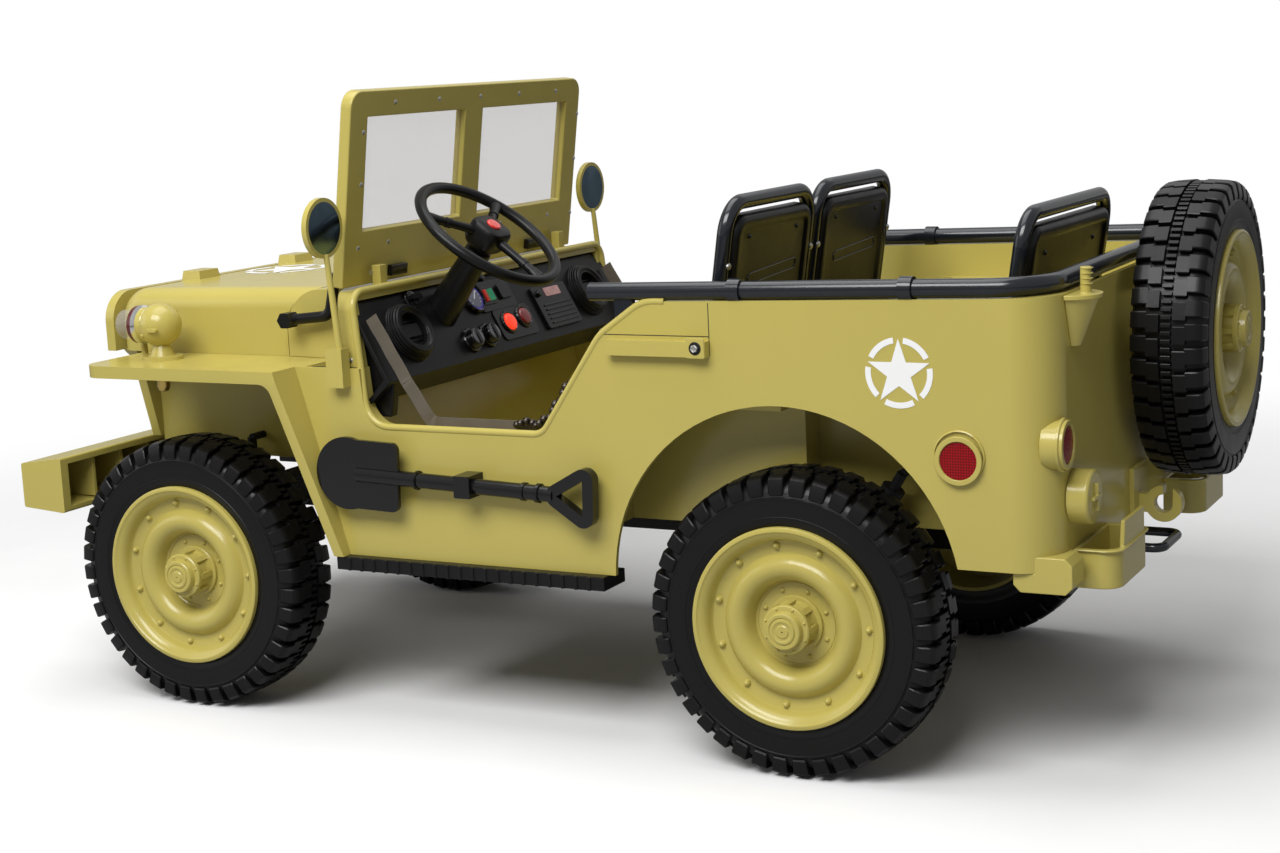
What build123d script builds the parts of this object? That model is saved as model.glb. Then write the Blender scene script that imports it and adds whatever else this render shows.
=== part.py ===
from build123d import *
from math import asin, atan2, cos, degrees, radians, sin, sqrt
import os

# Ride-on army 4x4 for a child: tub, hood and fenders of moulded plastic, four driven
# wheels, a windshield that folds onto the hood and a spare wheel on the tail.
# Frame: +X forward, +Y left, +Z up, origin on the ground under the middle of the car.

# Driving dimensions
length = 1550.0
wheelbase = 857.0
front_axle_x = 507.0
wheel_radius = 177.0
track = 610.0
body_half = 325.0
fender_half = 371.0
wall = 6.0
overrun = 40.0
tail_inset = 120.0
tail_corner_radius = 50.0
seam_gap = 3.0

# Body heights
sill_z = 216.0
floor_z = 274.0
seam_z = 452.0
door_sill_z = 380.0
tub_top_front_z = 541.0
tub_top_rear_z = 551.0
tail_bottom_z = 254.0
seat_base_z = 424.0
rear_floor_z = 340.0
shelf_z = 500.0

# Tub
door_front_x = 220.0
door_front_top_x = 226.0
door_rear_x = -30.0
door_rear_mid_x = -114.0
door_rear_mid_z = 501.0
door_rear_top_x = -172.0
door_foot_radius = 36.0
door_heel_radius = 24.0
door_mid_radius = 60.0
door_head_radius = 50.0
door_lip = 17.0
arch_x = -335.0
arch_z = 212.0
arch_radius = 214.0
seat_bay_front_x = -100.0
seat_bay_rear_x = -330.0
seat_bay_half = 240.0
rear_bay_half = 200.0
engine_bay_half = 165.0
engine_bay_bottom_z = 300.0
top_lip = 14.0
door_handle_front_x = -128.0
door_handle_rear_x = -256.0
door_handle_z = 489.0
door_handle_height = 18.0
door_handle_depth = 12.0

# Cowl
cowl_front_x = 390.0
cowl_shoulder_z = 497.0
cowl_top_front_x = 334.0
cowl_top_front_z = 541.0
cowl_top_z = 543.0
cowl_rear_x = 228.0
cowl_roof_rear_x = 238.0
cowl_front_half = 246.0
cowl_neck_x = 290.0
cowl_neck_half = 257.0
cowl_flare_x = 256.0
cowl_inset = 7.0
cowl_edge_radius = 22.0
cowl_wall = 8.0

# Hood
hood_half = 243.0
hood_nose_x = 678.0
hood_nose_z = 492.0
hood_crest_x = 636.0
hood_crest_z = 536.0
hood_shoulder_radius = 26.0
hood_block_x = 640.0
hood_block_y = 108.0
hood_block_length = 34.0
hood_block_width = 46.0
hood_block_top_z = 548.0

# Grille
grille_x = 680.0
grille_depth = 14.0
grille_half = 247.0
grille_top_z = 531.0
grille_corner_radius = 40.0
grille_waist_half = 205.0
grille_foot_half = 172.0
grille_foot_z = 322.0
grille_slot_count = 9
grille_slot_pitch = 26.0
grille_slot_width = 14.0
grille_slot_bottom_z = 362.0
grille_slot_top_z = 502.0
headlamp_y = 176.0
headlamp_z = 474.0
headlamp_radius = 36.0
headlamp_bezel = 6.0
marker_y = 160.0
marker_z = 405.0
marker_radius = 13.0

# Fenders
fender_front_x = 630.0
fender_top_z = 452.0
fender_edge = 16.0
fender_knee_x = 333.0
fender_foot_x = 272.0
fender_foot_half = 340.0
fender_leg = 14.0
fender_corner_radius = 26.0
fender_knee_radius = 18.0

# Front bumper
bumper_depth = 70.0
bumper_half = 345.0
bumper_rear_bottom_z = 246.0
bumper_rear_top_z = 321.0
bumper_front_bottom_z = 251.0
bumper_front_top_z = 311.0
bumper_wall = 6.0
bumper_end = 14.0
bumper_rib_count = 11
bumper_rib = 5.0

# Running boards
board_front_x = 270.0
board_rear_x = -112.0
board_depth = 52.0
board_height = 17.0
board_outer_y = 338.0
board_rib_pitch = 18.0
board_rib_count = 20
board_rib = 5.0
board_rib_height = 2.5

# Chassis
rail_y = 128.0
rail_width = 24.0
rail_height = 40.0
chassis_rear_x = -640.0
crossmember_width = 30.0

# Axles and steering
axle_radius = 14.0
kingpin_y = 236.0
kingpin_radius = 8.0
kingpin_clearance = 0.06
sleeve_radius = 15.0
sleeve_height = 46.0
knuckle_gap = 1.0
knuckle_ear = 9.0
knuckle_width = 32.0
stub_radius = 9.0
stub_clearance = 0.06
hub_gap = 3.0
gearbox_y = 196.0
gearbox_length = 130.0
gearbox_width = 44.0
gearbox_height = 92.0

# Dampers
damper_radius = 14.0
damper_bolt_radius = 5.0
damper_y = 238.0
damper_foot_x = -364.0
damper_foot_z = 198.0
damper_head_x = -450.0
damper_head_z = 338.0
front_damper_y = 190.0
front_damper_head_z = 330.0

# Wheels
tyre_width = 88.0
tyre_carcass = 166.0
tread_root = 169.0
tread_half = 37.0
lug_count = 13
lug_width = 50.0
lug_inner_y = 2.5
lug_outer_y = 35.0
rim_radius = 117.0
rim_seat_radius = 109.0
rim_lip_out = 3.0
rim_groove = 7.0
rim_ring_radius = 84.0
rim_ring_depth = 18.0
rim_crest_radius = 68.0
rim_crest_depth = 9.0
rim_disc_radius = 50.0
rim_disc_depth = 30.0
rim_sheet = 5.0
hub_radius = 27.0
hub_cap_radius = 21.0
hub_out = 14.0
hub_shoulder_out = 4.0

# Dash
dash_brow_x = 244.0
dash_half = 313.0
dash_knee_x = 190.0
dash_knee_z = 434.0
dash_foot_x = 220.0
dash_foot_z = 406.0
dash_wall = 6.0
pod_y = 229.0
pod_rise = 56.0
pod_radius = 33.0
pod_depth = 14.0
pod_bore = 23.0
gauge_y = 68.0
gauge_rise = 82.0
gauge_radius = 22.0
gauge_height = 5.0
knob_left_y = 42.0
knob_right_y = 12.0
knob_rise = 28.0
knob_radius = 12.0
knob_height = 14.0
button_left_y = -46.0
button_right_y = -76.0
button_rise = 30.0
button_radius = 12.0
button_height = 6.0
ignition_y = 190.0
ignition_rise = 88.0
switches_y = -10.0
switches_rise = 82.0
switches_width = 66.0
switches_height = 40.0
radio_y = -132.0
radio_rise = 58.0
radio_width = 76.0
radio_height = 62.0

# Steering column and wheel
wheel_x = 150.0
wheel_y = 130.0
wheel_z = 600.0
column_angle = 52.6
column_radius = 17.0
column_length = 130.0
column_spigot = 8.0
steering_rim_radius = 97.0
steering_grip_radius = 7.5
steering_spoke_radius = 5.5
steering_hub_radius = 24.0
steering_hub_depth = 26.0
horn_radius = 11.0
horn_height = 5.0

# Seats
seat_y = 131.0
seat_frame_half = 128.0
seat_tube_radius = 9.0
seat_top_z = 653.0
seat_back_foot_x = -215.0
seat_back_recline = 9.0
seat_back_thick = 24.0
seat_back_foot = 16.0
seat_back_drop = 17.0
seat_cushion_front_x = -104.0
seat_cushion_rear_x = -198.0
seat_cushion_height = 24.0
rear_seat_foot_x = -532.0
rear_seat_top_z = 632.0
rear_seat_half = 175.0
rear_cushion_front_x = -396.0
rear_cushion_rear_x = -516.0
rear_cushion_top_z = 404.0

# Side rail
rail_tube_radius = 10.5
rail_inset = 8.0
rail_front_x = -102.0
rail_tail_inset = 13.0
rail_corner_radius = 62.0
rail_lift = 0.5
rail_post_x = -146.0
rail_post_length = 22.0
clamp_front_x = -288.0
clamp_rear_x = -492.0
clamp_length = 15.0
clamp_wall = 3.0

# Shovel
shovel_out = 19.0
shovel_z = 322.0
shovel_tip_x = 284.0
shovel_shoulder_x = 164.0
shovel_blade_half = 43.0
shovel_blade_thick = 6.0
shovel_shaft_radius = 9.5
shovel_grip_x = -34.0
shovel_grip_length = 76.0
shovel_grip_half = 46.0
shovel_grip_radius = 7.0
shovel_grip_bar = 14.0
shovel_tilt = 2.2
shovel_corner_radius = 9.0
shovel_clip_x = 66.0
shovel_clip_length = 22.0
shovel_clip_wall = 4.0

# Spare wheel
spare_y = -71.0
spare_z = 469.0
spare_boss_radius = 44.0

# Fender lamp
lamp_x = 555.0
lamp_y = 299.0
lamp_z = 497.0
lamp_ball_radius = 28.0
lamp_base_length = 58.0
lamp_base_width = 42.0
lamp_base_thick = 5.0
lamp_neck_radius = 9.0
lamp_foot_radius = 16.0
lamp_ring_radius = 23.0
lamp_lens_radius = 19.0
lamp_lens_length = 28.0

# Reflectors and tail cap
bezel_radius = 27.0
bezel_depth = 7.0
lens_radius = 21.0
lens_depth = 5.0
side_reflector_x = -550.0
side_reflector_z = 375.0
tail_reflector_y = 294.0
tail_reflector_z = 391.0
cap_y = 257.0
cap_z = 328.0
cap_radius = 30.0
cap_depth = 24.0
cap_rib = 4.0

# Aerial bracket
aerial_y = 252.0
aerial_top_z = 544.0
aerial_bottom_z = 492.0
aerial_top_radius = 30.0
aerial_bottom_radius = 9.0
aerial_flange = 5.0
aerial_stud_radius = 6.0
aerial_stud_height = 28.0

# Can racks, bumperettes and tow gear
rack_inner_y = 130.0
rack_outer_y = 260.0
rack_depth = 50.0
rack_bottom_z = 226.0
rack_side_z = 270.0
rack_rear_z = 298.0
rack_wall = 5.0
rack_corner_radius = 22.0
rack_lip = 3.0
bumperette_y = 297.0
bumperette_width = 44.0
bumperette_depth = 16.0
bumperette_bottom_z = 232.0
bumperette_top_z = 272.0
bumperette_chamfer = 8.0
hook_z = 268.0
hook_plate = 60.0
hook_plate_thick = 6.0
hook_thick = 16.0
hook_reach = 46.0
hook_throat_radius = 11.0
loop_half = 42.0
loop_z = 222.0
loop_radius = 5.5
loop_reach = 42.0

# Mirrors
mirror_x = 259.0
mirror_out = 9.0
mirror_z = 626.0
mirror_radius = 37.0
mirror_thick = 7.0
mirror_glass_radius = 32.0
mirror_glass_thick = 2.0
mirror_stalk_radius = 4.5
mirror_stalk_lean = 14.0
mirror_socket = 16.0
mirror_socket_bottom_z = 430.0
mirror_socket_top_z = 478.0

# Windshield
windshield_half = 284.0
windshield_foot_x = 272.0
windshield_foot_z = 545.0
windshield_height = 246.0
windshield_lean = 8.1
windshield_thick = 16.0
windshield_corner_radius = 22.0
pane_inner_y = 22.0
pane_outer_y = 246.0
pane_bottom = 70.0
pane_top = 213.0
glass_thick = 3.0
pivot_x = 368.0
pivot_z = 503.0
pivot_radius = 5.0
pivot_clearance = 0.06
knob_flats = 19.0
knob_inner_y = 262.0
knob_outer_y = 282.0
arm_radius = 7.0
arm_y = 268.0
arm_bend_x = 306.0
arm_bend_z = 509.0
arm_bend_radius = 16.0
catch_y = 170.0
catch_width = 36.0
catch_thick = 8.0
catch_height = 14.0
catch_post_y = 225.0
catch_post_x = 256.0
catch_post_length = 13.0
catch_post_width = 15.0
catch_post_height = 27.0

# Door straps
strap_thick = 3.0
strap_width = 17.0
strap_lift = 3.0
strap_clearance = 0.3

rear_axle_x = front_axle_x - wheelbase
axle_z = wheel_radius
wheel_centre_y = track / 2
bumper_front_x = length / 2
bumper_rear_x = bumper_front_x - bumper_depth
tail_end_x = -length / 2
tail_x = tail_end_x + tail_inset
inner_half = body_half - wall
cowl_flare_half = body_half - cowl_inset
rail_tube_y = body_half - rail_inset
rail_tail_x = tail_x + rail_tail_inset
shovel_y = body_half + shovel_out
mirror_y = body_half + mirror_out
side_sign = {"left": 1, "right": -1}

os.makedirs("parts", exist_ok=True)


def side_plane(y):
    # Sketch axes are X and Z, and the sketch faces -Y
    return Plane.XZ.offset(-y)


def save(piece, label):
    piece.part.label = label
    export_step(piece.part, "parts/" + label + ".step")


# The fender's leg slopes down to the sill, and the tub's front follows its back
leg_way = Vector(fender_knee_x - fender_foot_x, 0, seam_z - fender_edge - sill_z).normalized()
leg_back = fender_leg / leg_way.Z
firewall_foot_x = fender_foot_x - leg_back
firewall_head_x = firewall_foot_x + (seam_z - sill_z) * leg_way.X / leg_way.Z


def top_z(x):
    # Height of the tub's top edge, which rises a little to the rear
    run = (x - door_rear_top_x) / (tail_x - door_rear_top_x)
    return tub_top_front_z + run * (tub_top_rear_z - tub_top_front_z)


# Edge of the door opening, from the front down, along the sill and up to the rail
door_edge = (
    (door_front_top_x, seam_z),
    (door_front_x, door_sill_z),
    (door_rear_x, door_sill_z),
    (door_rear_mid_x, door_rear_mid_z),
    (door_rear_top_x, tub_top_front_z),
)
door_radii = (door_foot_radius, door_heel_radius, door_mid_radius)

# Tub: sides, floors, wheel boxes and tail in one moulding
with BuildPart() as tub:
    with BuildSketch(Plane.XZ):
        with BuildLine():
            FilletPolyline(*door_edge, (tail_x, tub_top_rear_z), radius=[*door_radii, door_head_radius])
            Polyline(
                (tail_x, tub_top_rear_z),
                (tail_x, tail_bottom_z),
                (arch_x, tail_bottom_z),
                (arch_x, sill_z),
                (firewall_foot_x, sill_z),
                (firewall_head_x, seam_z),
                (door_front_top_x, seam_z),
            )
        make_face()
    extrude(amount=body_half, both=True)
    fillet(tub.edges().filter_by(Axis.Z).sort_by(Axis.X)[:2], radius=tail_corner_radius)
    high = tub_top_rear_z + overrun
    firewall_slope = (firewall_head_x - firewall_foot_x) / (seam_z - sill_z)
    cabin_front_low = firewall_foot_x + (floor_z - sill_z) * firewall_slope - 2 * wall
    with BuildSketch(Plane.XZ):
        Polygon(
            (seat_bay_front_x, floor_z),
            (cabin_front_low, floor_z),
            (firewall_head_x - 2 * wall, seam_z),
            (firewall_head_x - 2 * wall, high),
            (seat_bay_front_x, high),
            align=None,
        )
    extrude(amount=inner_half, both=True, mode=Mode.SUBTRACT)
    # Bays open at the top: rear x, front x, half width, floor height
    bays = (
        (seat_bay_rear_x, seat_bay_front_x, inner_half - top_lip, seat_base_z),
        (tail_x + wall, seat_bay_rear_x, rear_bay_half, rear_floor_z),
        (tail_x + wall + top_lip, seat_bay_front_x, inner_half - top_lip, shelf_z),
    )
    for rear, front, half, low in bays:
        with BuildSketch(Plane.XY.offset(low)) as mouth:
            with Locations(((rear + front) / 2, 0)):
                Rectangle(front - rear, 2 * half)
            fillet(mouth.vertices().sort_by(Axis.X)[:2], radius=tail_corner_radius - wall - top_lip)
        extrude(amount=high - low, mode=Mode.SUBTRACT)
    # Hollows open below
    bay_rear = seat_bay_rear_x - wall
    corner_x = tail_x + tail_corner_radius
    hollows = (
        # rear x, front x, inner half, outer half, roof height
        (seat_bay_front_x + wall, cabin_front_low - wall, 0, inner_half, floor_z - wall),
        (seat_bay_rear_x + wall, seat_bay_front_x - wall, 0, seat_bay_half - wall, seat_base_z - wall),
        (tail_x + 2 * wall, bay_rear, 0, rear_bay_half - wall, rear_floor_z - wall),
        (corner_x, bay_rear, rear_bay_half + wall, inner_half, shelf_z - wall),
        (bay_rear - wall, seat_bay_front_x - wall, seat_bay_half + wall, inner_half, seat_base_z - wall),
        (corner_x, seat_bay_front_x + 2 * wall, 0, inner_half, floor_z - wall),
        (tail_x + wall, corner_x, 0, rear_bay_half, floor_z - wall),
    )
    for rear, front, inner, outer, roof in hollows:
        for sign in (1, -1):
            with BuildSketch(Plane.XY.offset(sill_z - overrun)):
                with Locations(((rear + front) / 2, sign * (inner + outer) / 2)):
                    Rectangle(front - rear, outer - inner)
            extrude(amount=roof - sill_z + overrun, mode=Mode.SUBTRACT)
    # Notches that the chassis rails pass through
    with BuildSketch(Plane.XY.offset(sill_z - overrun)):
        with Locations((firewall_foot_x, rail_y), (firewall_foot_x, -rail_y)):
            Rectangle(2 * (firewall_foot_x - cabin_front_low) + 2 * overrun, rail_width)
    extrude(amount=floor_z - wall - sill_z + overrun, mode=Mode.SUBTRACT)
    for sign in (1, -1):
        with BuildSketch(side_plane(sign * body_half)):
            with Locations((arch_x, arch_z)):
                Circle(arch_radius)
        extrude(amount=2 * wall, both=True, mode=Mode.SUBTRACT)
    # Inner panels beside the engine bay
    panel_foot_x = firewall_foot_x + (engine_bay_bottom_z - sill_z) * firewall_slope
    for sign in (1, -1):
        with BuildSketch(side_plane(sign * (engine_bay_half - wall / 2))):
            Polygon(
                (panel_foot_x - wall / 2, engine_bay_bottom_z),
                (grille_x, engine_bay_bottom_z),
                (grille_x, seam_z),
                (firewall_head_x - wall, seam_z),
                align=None,
            )
        extrude(amount=wall / 2, both=True)
    # Turned-in lip round each door opening
    for sign in (1, -1):
        with BuildSketch(side_plane(sign * (inner_half - door_lip))):
            with BuildLine():
                FilletPolyline(*door_edge, radius=door_radii)
                offset(amount=wall, side=Side.BOTH)
            make_face()
            with BuildLine():
                FilletPolyline(*door_edge, radius=door_radii)
                Polyline(
                    door_edge[-1],
                    (door_rear_top_x - 2 * wall, tub_top_front_z),
                    (door_rear_top_x - 2 * wall, high),
                    (door_front_top_x + 2 * wall, high),
                    (door_front_top_x + 2 * wall, seam_z),
                    door_edge[0],
                )
            make_face(mode=Mode.SUBTRACT)
        extrude(amount=-sign * door_lip)
    # Door handle bars
    for sign in (1, -1):
        handle_length = door_handle_front_x - door_handle_rear_x
        with BuildSketch(side_plane(sign * body_half)):
            with Locations(((door_handle_front_x + door_handle_rear_x) / 2, door_handle_z)):
                Rectangle(handle_length, door_handle_height)
        extrude(amount=-sign * door_handle_depth)
save(tub, "tub")

# Cowl: rounded cap between hood and dash, wider at the door
with BuildPart() as cowl:
    with BuildSketch(Plane.XZ):
        with BuildLine():
            Polyline(
                (cowl_front_x, cowl_shoulder_z),
                (cowl_front_x, seam_z),
                (cowl_rear_x, seam_z),
                (cowl_roof_rear_x, cowl_top_z),
                (cowl_neck_x, cowl_top_z),
                (cowl_top_front_x, cowl_top_front_z),
            )
            ThreePointArc(
                (cowl_top_front_x, cowl_top_front_z),
                (
                    (cowl_front_x + cowl_top_front_x) / 2 + cowl_wall,
                    (cowl_shoulder_z + cowl_top_front_z) / 2 + cowl_wall,
                ),
                (cowl_front_x, cowl_shoulder_z),
            )
        make_face()
    extrude(amount=cowl_flare_half, both=True)
    with BuildSketch(Plane.XY.offset(seam_z)):
        with BuildLine():
            Polyline(
                (cowl_front_x, cowl_front_half),
                (cowl_neck_x, cowl_neck_half),
                (cowl_flare_x, cowl_flare_half),
                (cowl_rear_x, cowl_flare_half),
                (cowl_rear_x, -cowl_flare_half),
                (cowl_flare_x, -cowl_flare_half),
                (cowl_neck_x, -cowl_neck_half),
                (cowl_front_x, -cowl_front_half),
                close=True,
            )
        make_face()
    extrude(amount=cowl_top_z - seam_z, mode=Mode.INTERSECT)
    fillet(cowl.faces().sort_by(Axis.Z)[-1].edges().filter_by(Axis.X), radius=cowl_edge_radius)
    # Hollow, open below and to the rear
    with BuildSketch(Plane.XY.offset(seam_z - overrun)):
        Polygon(
            (cowl_front_x - cowl_wall - (cowl_front_x - cowl_top_front_x), cowl_front_half - 2 * cowl_wall),
            (cowl_neck_x, cowl_neck_half - 2 * cowl_wall),
            (cowl_flare_x, cowl_flare_half - 2 * cowl_wall),
            (cowl_rear_x - overrun, cowl_flare_half - 2 * cowl_wall),
            (cowl_rear_x - overrun, -cowl_flare_half + 2 * cowl_wall),
            (cowl_flare_x, -cowl_flare_half + 2 * cowl_wall),
            (cowl_neck_x, -cowl_neck_half + 2 * cowl_wall),
            (cowl_front_x - cowl_wall - (cowl_front_x - cowl_top_front_x), -cowl_front_half + 2 * cowl_wall),
            align=None,
        )
    extrude(amount=cowl_top_front_z - seam_z + overrun - cowl_wall, mode=Mode.SUBTRACT)
    # Posts that the windshield's catches close on
    for sign in (1, -1):
        with BuildSketch(Plane.XY.offset(cowl_top_z)):
            with Locations((catch_post_x, sign * catch_post_y)):
                Rectangle(catch_post_length, catch_post_width)
        extrude(amount=catch_post_height)
    # Pivot pins that carry the windshield's arms
    for sign in (1, -1):
        with BuildSketch(side_plane(sign * (cowl_front_half - cowl_wall))):
            with Locations((pivot_x, pivot_z)):
                Circle(pivot_radius)
        extrude(amount=-sign * (knob_outer_y - cowl_wall / 2 - cowl_front_half + cowl_wall))
save(cowl, "cowl")

# Hood with the two blocks that the folded windshield lies on
with BuildPart() as hood:
    with BuildSketch(Plane.XZ):
        with BuildLine():
            Polyline(
                (hood_nose_x, hood_nose_z),
                (hood_nose_x, seam_z),
                (cowl_front_x + seam_gap, seam_z),
                (cowl_front_x + seam_gap, cowl_shoulder_z),
            )
            ThreePointArc(
                (cowl_front_x + seam_gap, cowl_shoulder_z),
                (
                    (cowl_front_x + cowl_top_front_x) / 2 + seam_gap + cowl_wall,
                    (cowl_shoulder_z + cowl_top_front_z) / 2 + cowl_wall,
                ),
                (cowl_top_front_x + seam_gap, cowl_top_front_z),
            )
            Line((cowl_top_front_x + seam_gap, cowl_top_front_z), (hood_crest_x, hood_crest_z))
            TangentArc(
                (hood_crest_x, hood_crest_z),
                (hood_nose_x, hood_nose_z),
                tangent=(hood_crest_x - cowl_top_front_x, hood_crest_z - cowl_top_front_z),
            )
        make_face()
    extrude(amount=hood_half, both=True)
    long_edges = hood.edges().filter_by(lambda e: e.center().Z > hood_crest_z - wall and e.length > hood_half)
    fillet(long_edges.filter_by(lambda e: abs(e.center().Y) > hood_half / 2), radius=hood_shoulder_radius)
    with BuildSketch(Plane.XZ):
        Polygon(
            (hood_nose_x - wall, seam_z - overrun),
            (hood_nose_x - wall, hood_nose_z - wall),
            (hood_crest_x - wall, hood_crest_z - 2 * wall),
            (cowl_front_x, hood_crest_z - 2 * wall),
            (cowl_front_x + 2 * wall, seam_z - overrun),
            align=None,
        )
    extrude(amount=hood_half - 2 * wall, both=True, mode=Mode.SUBTRACT)
    for sign in (1, -1):
        with BuildSketch(Plane.XY.offset(hood_crest_z - wall)):
            with Locations((hood_block_x, sign * hood_block_y)):
                Rectangle(hood_block_length, hood_block_width)
        with BuildSketch(Plane.XY.offset(hood_block_top_z)):
            with Locations((hood_block_x, sign * hood_block_y)):
                Rectangle(hood_block_length - wall, hood_block_width - wall)
        loft()
save(hood, "hood")

# Grille panel: upright slots, lamp seats and a foot that narrows below the fenders
with BuildPart() as grille:
    with BuildSketch(Plane.YZ.offset(grille_x)):
        with BuildLine():
            Polyline(
                (-grille_half, grille_top_z),
                (-grille_half, seam_z),
                (-grille_waist_half, seam_z),
                (-grille_foot_half, grille_foot_z),
                (grille_foot_half, grille_foot_z),
                (grille_waist_half, seam_z),
                (grille_half, seam_z),
                (grille_half, grille_top_z),
                close=True,
            )
        make_face()
    extrude(amount=grille_depth)
    fillet(grille.edges().filter_by(Axis.X).sort_by(Axis.Z)[-2:], radius=grille_corner_radius)
    with BuildSketch(Plane.YZ.offset(grille_x)):
        with Locations((0, (grille_slot_bottom_z + grille_slot_top_z) / 2)):
            with GridLocations(grille_slot_pitch, 0, grille_slot_count, 1):
                SlotOverall(grille_slot_top_z - grille_slot_bottom_z, grille_slot_width, rotation=90)
        with Locations((headlamp_y, headlamp_z), (-headlamp_y, headlamp_z)):
            Circle(headlamp_radius)
        with Locations((marker_y, marker_z), (-marker_y, marker_z)):
            Circle(marker_radius)
    extrude(amount=grille_depth, mode=Mode.SUBTRACT)
    # Bezel rings and the cups behind the lamps
    with BuildSketch(Plane.YZ.offset(grille_x)):
        with Locations((headlamp_y, headlamp_z), (-headlamp_y, headlamp_z)):
            Circle(headlamp_radius + headlamp_bezel)
            Circle(headlamp_radius, mode=Mode.SUBTRACT)
        with Locations((marker_y, marker_z), (-marker_y, marker_z)):
            Circle(marker_radius + headlamp_bezel / 2)
            Circle(marker_radius, mode=Mode.SUBTRACT)
    extrude(amount=grille_depth + headlamp_bezel)
    with BuildSketch(Plane.YZ.offset(grille_x)):
        with Locations((headlamp_y, headlamp_z), (-headlamp_y, headlamp_z)):
            Circle(headlamp_radius)
        with Locations((marker_y, marker_z), (-marker_y, marker_z)):
            Circle(marker_radius)
    extrude(amount=headlamp_bezel)
save(grille, "grille")

# Lamp glasses: headlamps and marker lamps in the grille
with BuildPart() as lamp_glasses:
    with BuildSketch(Plane.YZ.offset(grille_x + headlamp_bezel)):
        with Locations((headlamp_y, headlamp_z), (-headlamp_y, headlamp_z)):
            Circle(headlamp_radius)
        with Locations((marker_y, marker_z), (-marker_y, marker_z)):
            Circle(marker_radius)
    extrude(amount=grille_depth)
save(lamp_glasses, "lamp_glasses")

# Fenders: flat top with a turned-down edge and a sloping leg behind the wheel
for side, sign in side_sign.items():
    with BuildPart() as fender:
        with BuildSketch(side_plane(sign * (engine_bay_half + fender_half) / 2)):
            with BuildLine():
                FilletPolyline(
                    (fender_front_x, fender_top_z),
                    (fender_front_x, fender_top_z - fender_edge),
                    (fender_knee_x, fender_top_z - fender_edge),
                    (fender_foot_x, sill_z),
                    radius=[fender_edge / 2, fender_knee_radius],
                )
                Polyline(
                    (fender_foot_x, sill_z),
                    (firewall_foot_x, sill_z),
                    (firewall_head_x, fender_top_z),
                    (fender_front_x, fender_top_z),
                )
            make_face()
        extrude(amount=(fender_half - engine_bay_half) / 2, both=True)
        # The outer front corner is round, and the leg narrows to the sill
        fender_back_x = firewall_foot_x
        with BuildSketch(Plane.XY.offset(sill_z)) as plan:
            fender_y = sign * (engine_bay_half + fender_half) / 2
            with Locations(((fender_front_x + fender_back_x) / 2, fender_y)):
                Rectangle(fender_front_x - fender_back_x, fender_half - engine_bay_half)
            outer_front = plan.vertices().sort_by(lambda v: v.X + sign * v.Y)[-1]
            fillet(outer_front, radius=fender_corner_radius)
        extrude(amount=fender_top_z - sill_z, mode=Mode.INTERSECT)
        with BuildSketch(Plane.YZ.offset(fender_back_x)):
            Polygon(
                (sign * engine_bay_half, sill_z),
                (sign * fender_foot_half, sill_z),
                (sign * fender_half, fender_top_z - fender_edge),
                (sign * fender_half, fender_top_z),
                (sign * engine_bay_half, fender_top_z),
                align=None,
            )
        extrude(amount=fender_front_x - fender_back_x, mode=Mode.INTERSECT)
    save(fender, "fender_" + side)

# Front bumper: tapered beam, a channel with ribs behind
with BuildPart() as front_bumper:
    with BuildSketch(Plane.XZ):
        Polygon(
            (bumper_rear_x, bumper_rear_bottom_z),
            (bumper_front_x, bumper_front_bottom_z),
            (bumper_front_x, bumper_front_top_z),
            (bumper_rear_x, bumper_rear_top_z),
            align=None,
        )
    extrude(amount=bumper_half, both=True)
    fillet(front_bumper.edges().filter_by(Axis.Y), radius=0.5 * bumper_wall)
    with BuildSketch(Plane.XZ):
        Polygon(
            (bumper_rear_x - overrun, bumper_rear_bottom_z + bumper_wall),
            (bumper_front_x - bumper_wall, bumper_front_bottom_z + bumper_wall),
            (bumper_front_x - bumper_wall, bumper_front_top_z - bumper_wall),
            (bumper_rear_x - overrun, bumper_rear_top_z - bumper_wall),
            align=None,
        )
    extrude(amount=bumper_half - bumper_end, both=True, mode=Mode.SUBTRACT)
    rib_pitch = 2 * (bumper_half - bumper_end) / (bumper_rib_count + 1)
    with BuildSketch(Plane.XY.offset((bumper_rear_bottom_z + bumper_rear_top_z) / 2)):
        with Locations((bumper_rear_x + bumper_depth / 2, 0)):
            with GridLocations(0, rib_pitch, 1, bumper_rib_count):
                Rectangle(bumper_depth - 2 * bumper_wall, bumper_rib)
    extrude(amount=(bumper_front_top_z - bumper_front_bottom_z - bumper_wall) / 2, both=True)
save(front_bumper, "front_bumper")

# Running boards below the door sills
with BuildPart() as running_boards:
    for sign in (1, -1):
        with BuildSketch(side_plane(sign * (board_outer_y - board_depth / 2))):
            with Locations(((board_front_x + board_rear_x) / 2, sill_z - board_height / 2)):
                Rectangle(board_front_x - board_rear_x, board_height)
        extrude(amount=board_depth / 2, both=True)
        with BuildSketch(side_plane(sign * board_outer_y)):
            with Locations(((board_front_x + board_rear_x) / 2, sill_z - board_height / 2)):
                with GridLocations(board_rib_pitch, 0, board_rib_count, 1):
                    Rectangle(board_rib, board_height)
        extrude(amount=-sign * board_rib_height)
save(running_boards, "running_boards")

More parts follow.
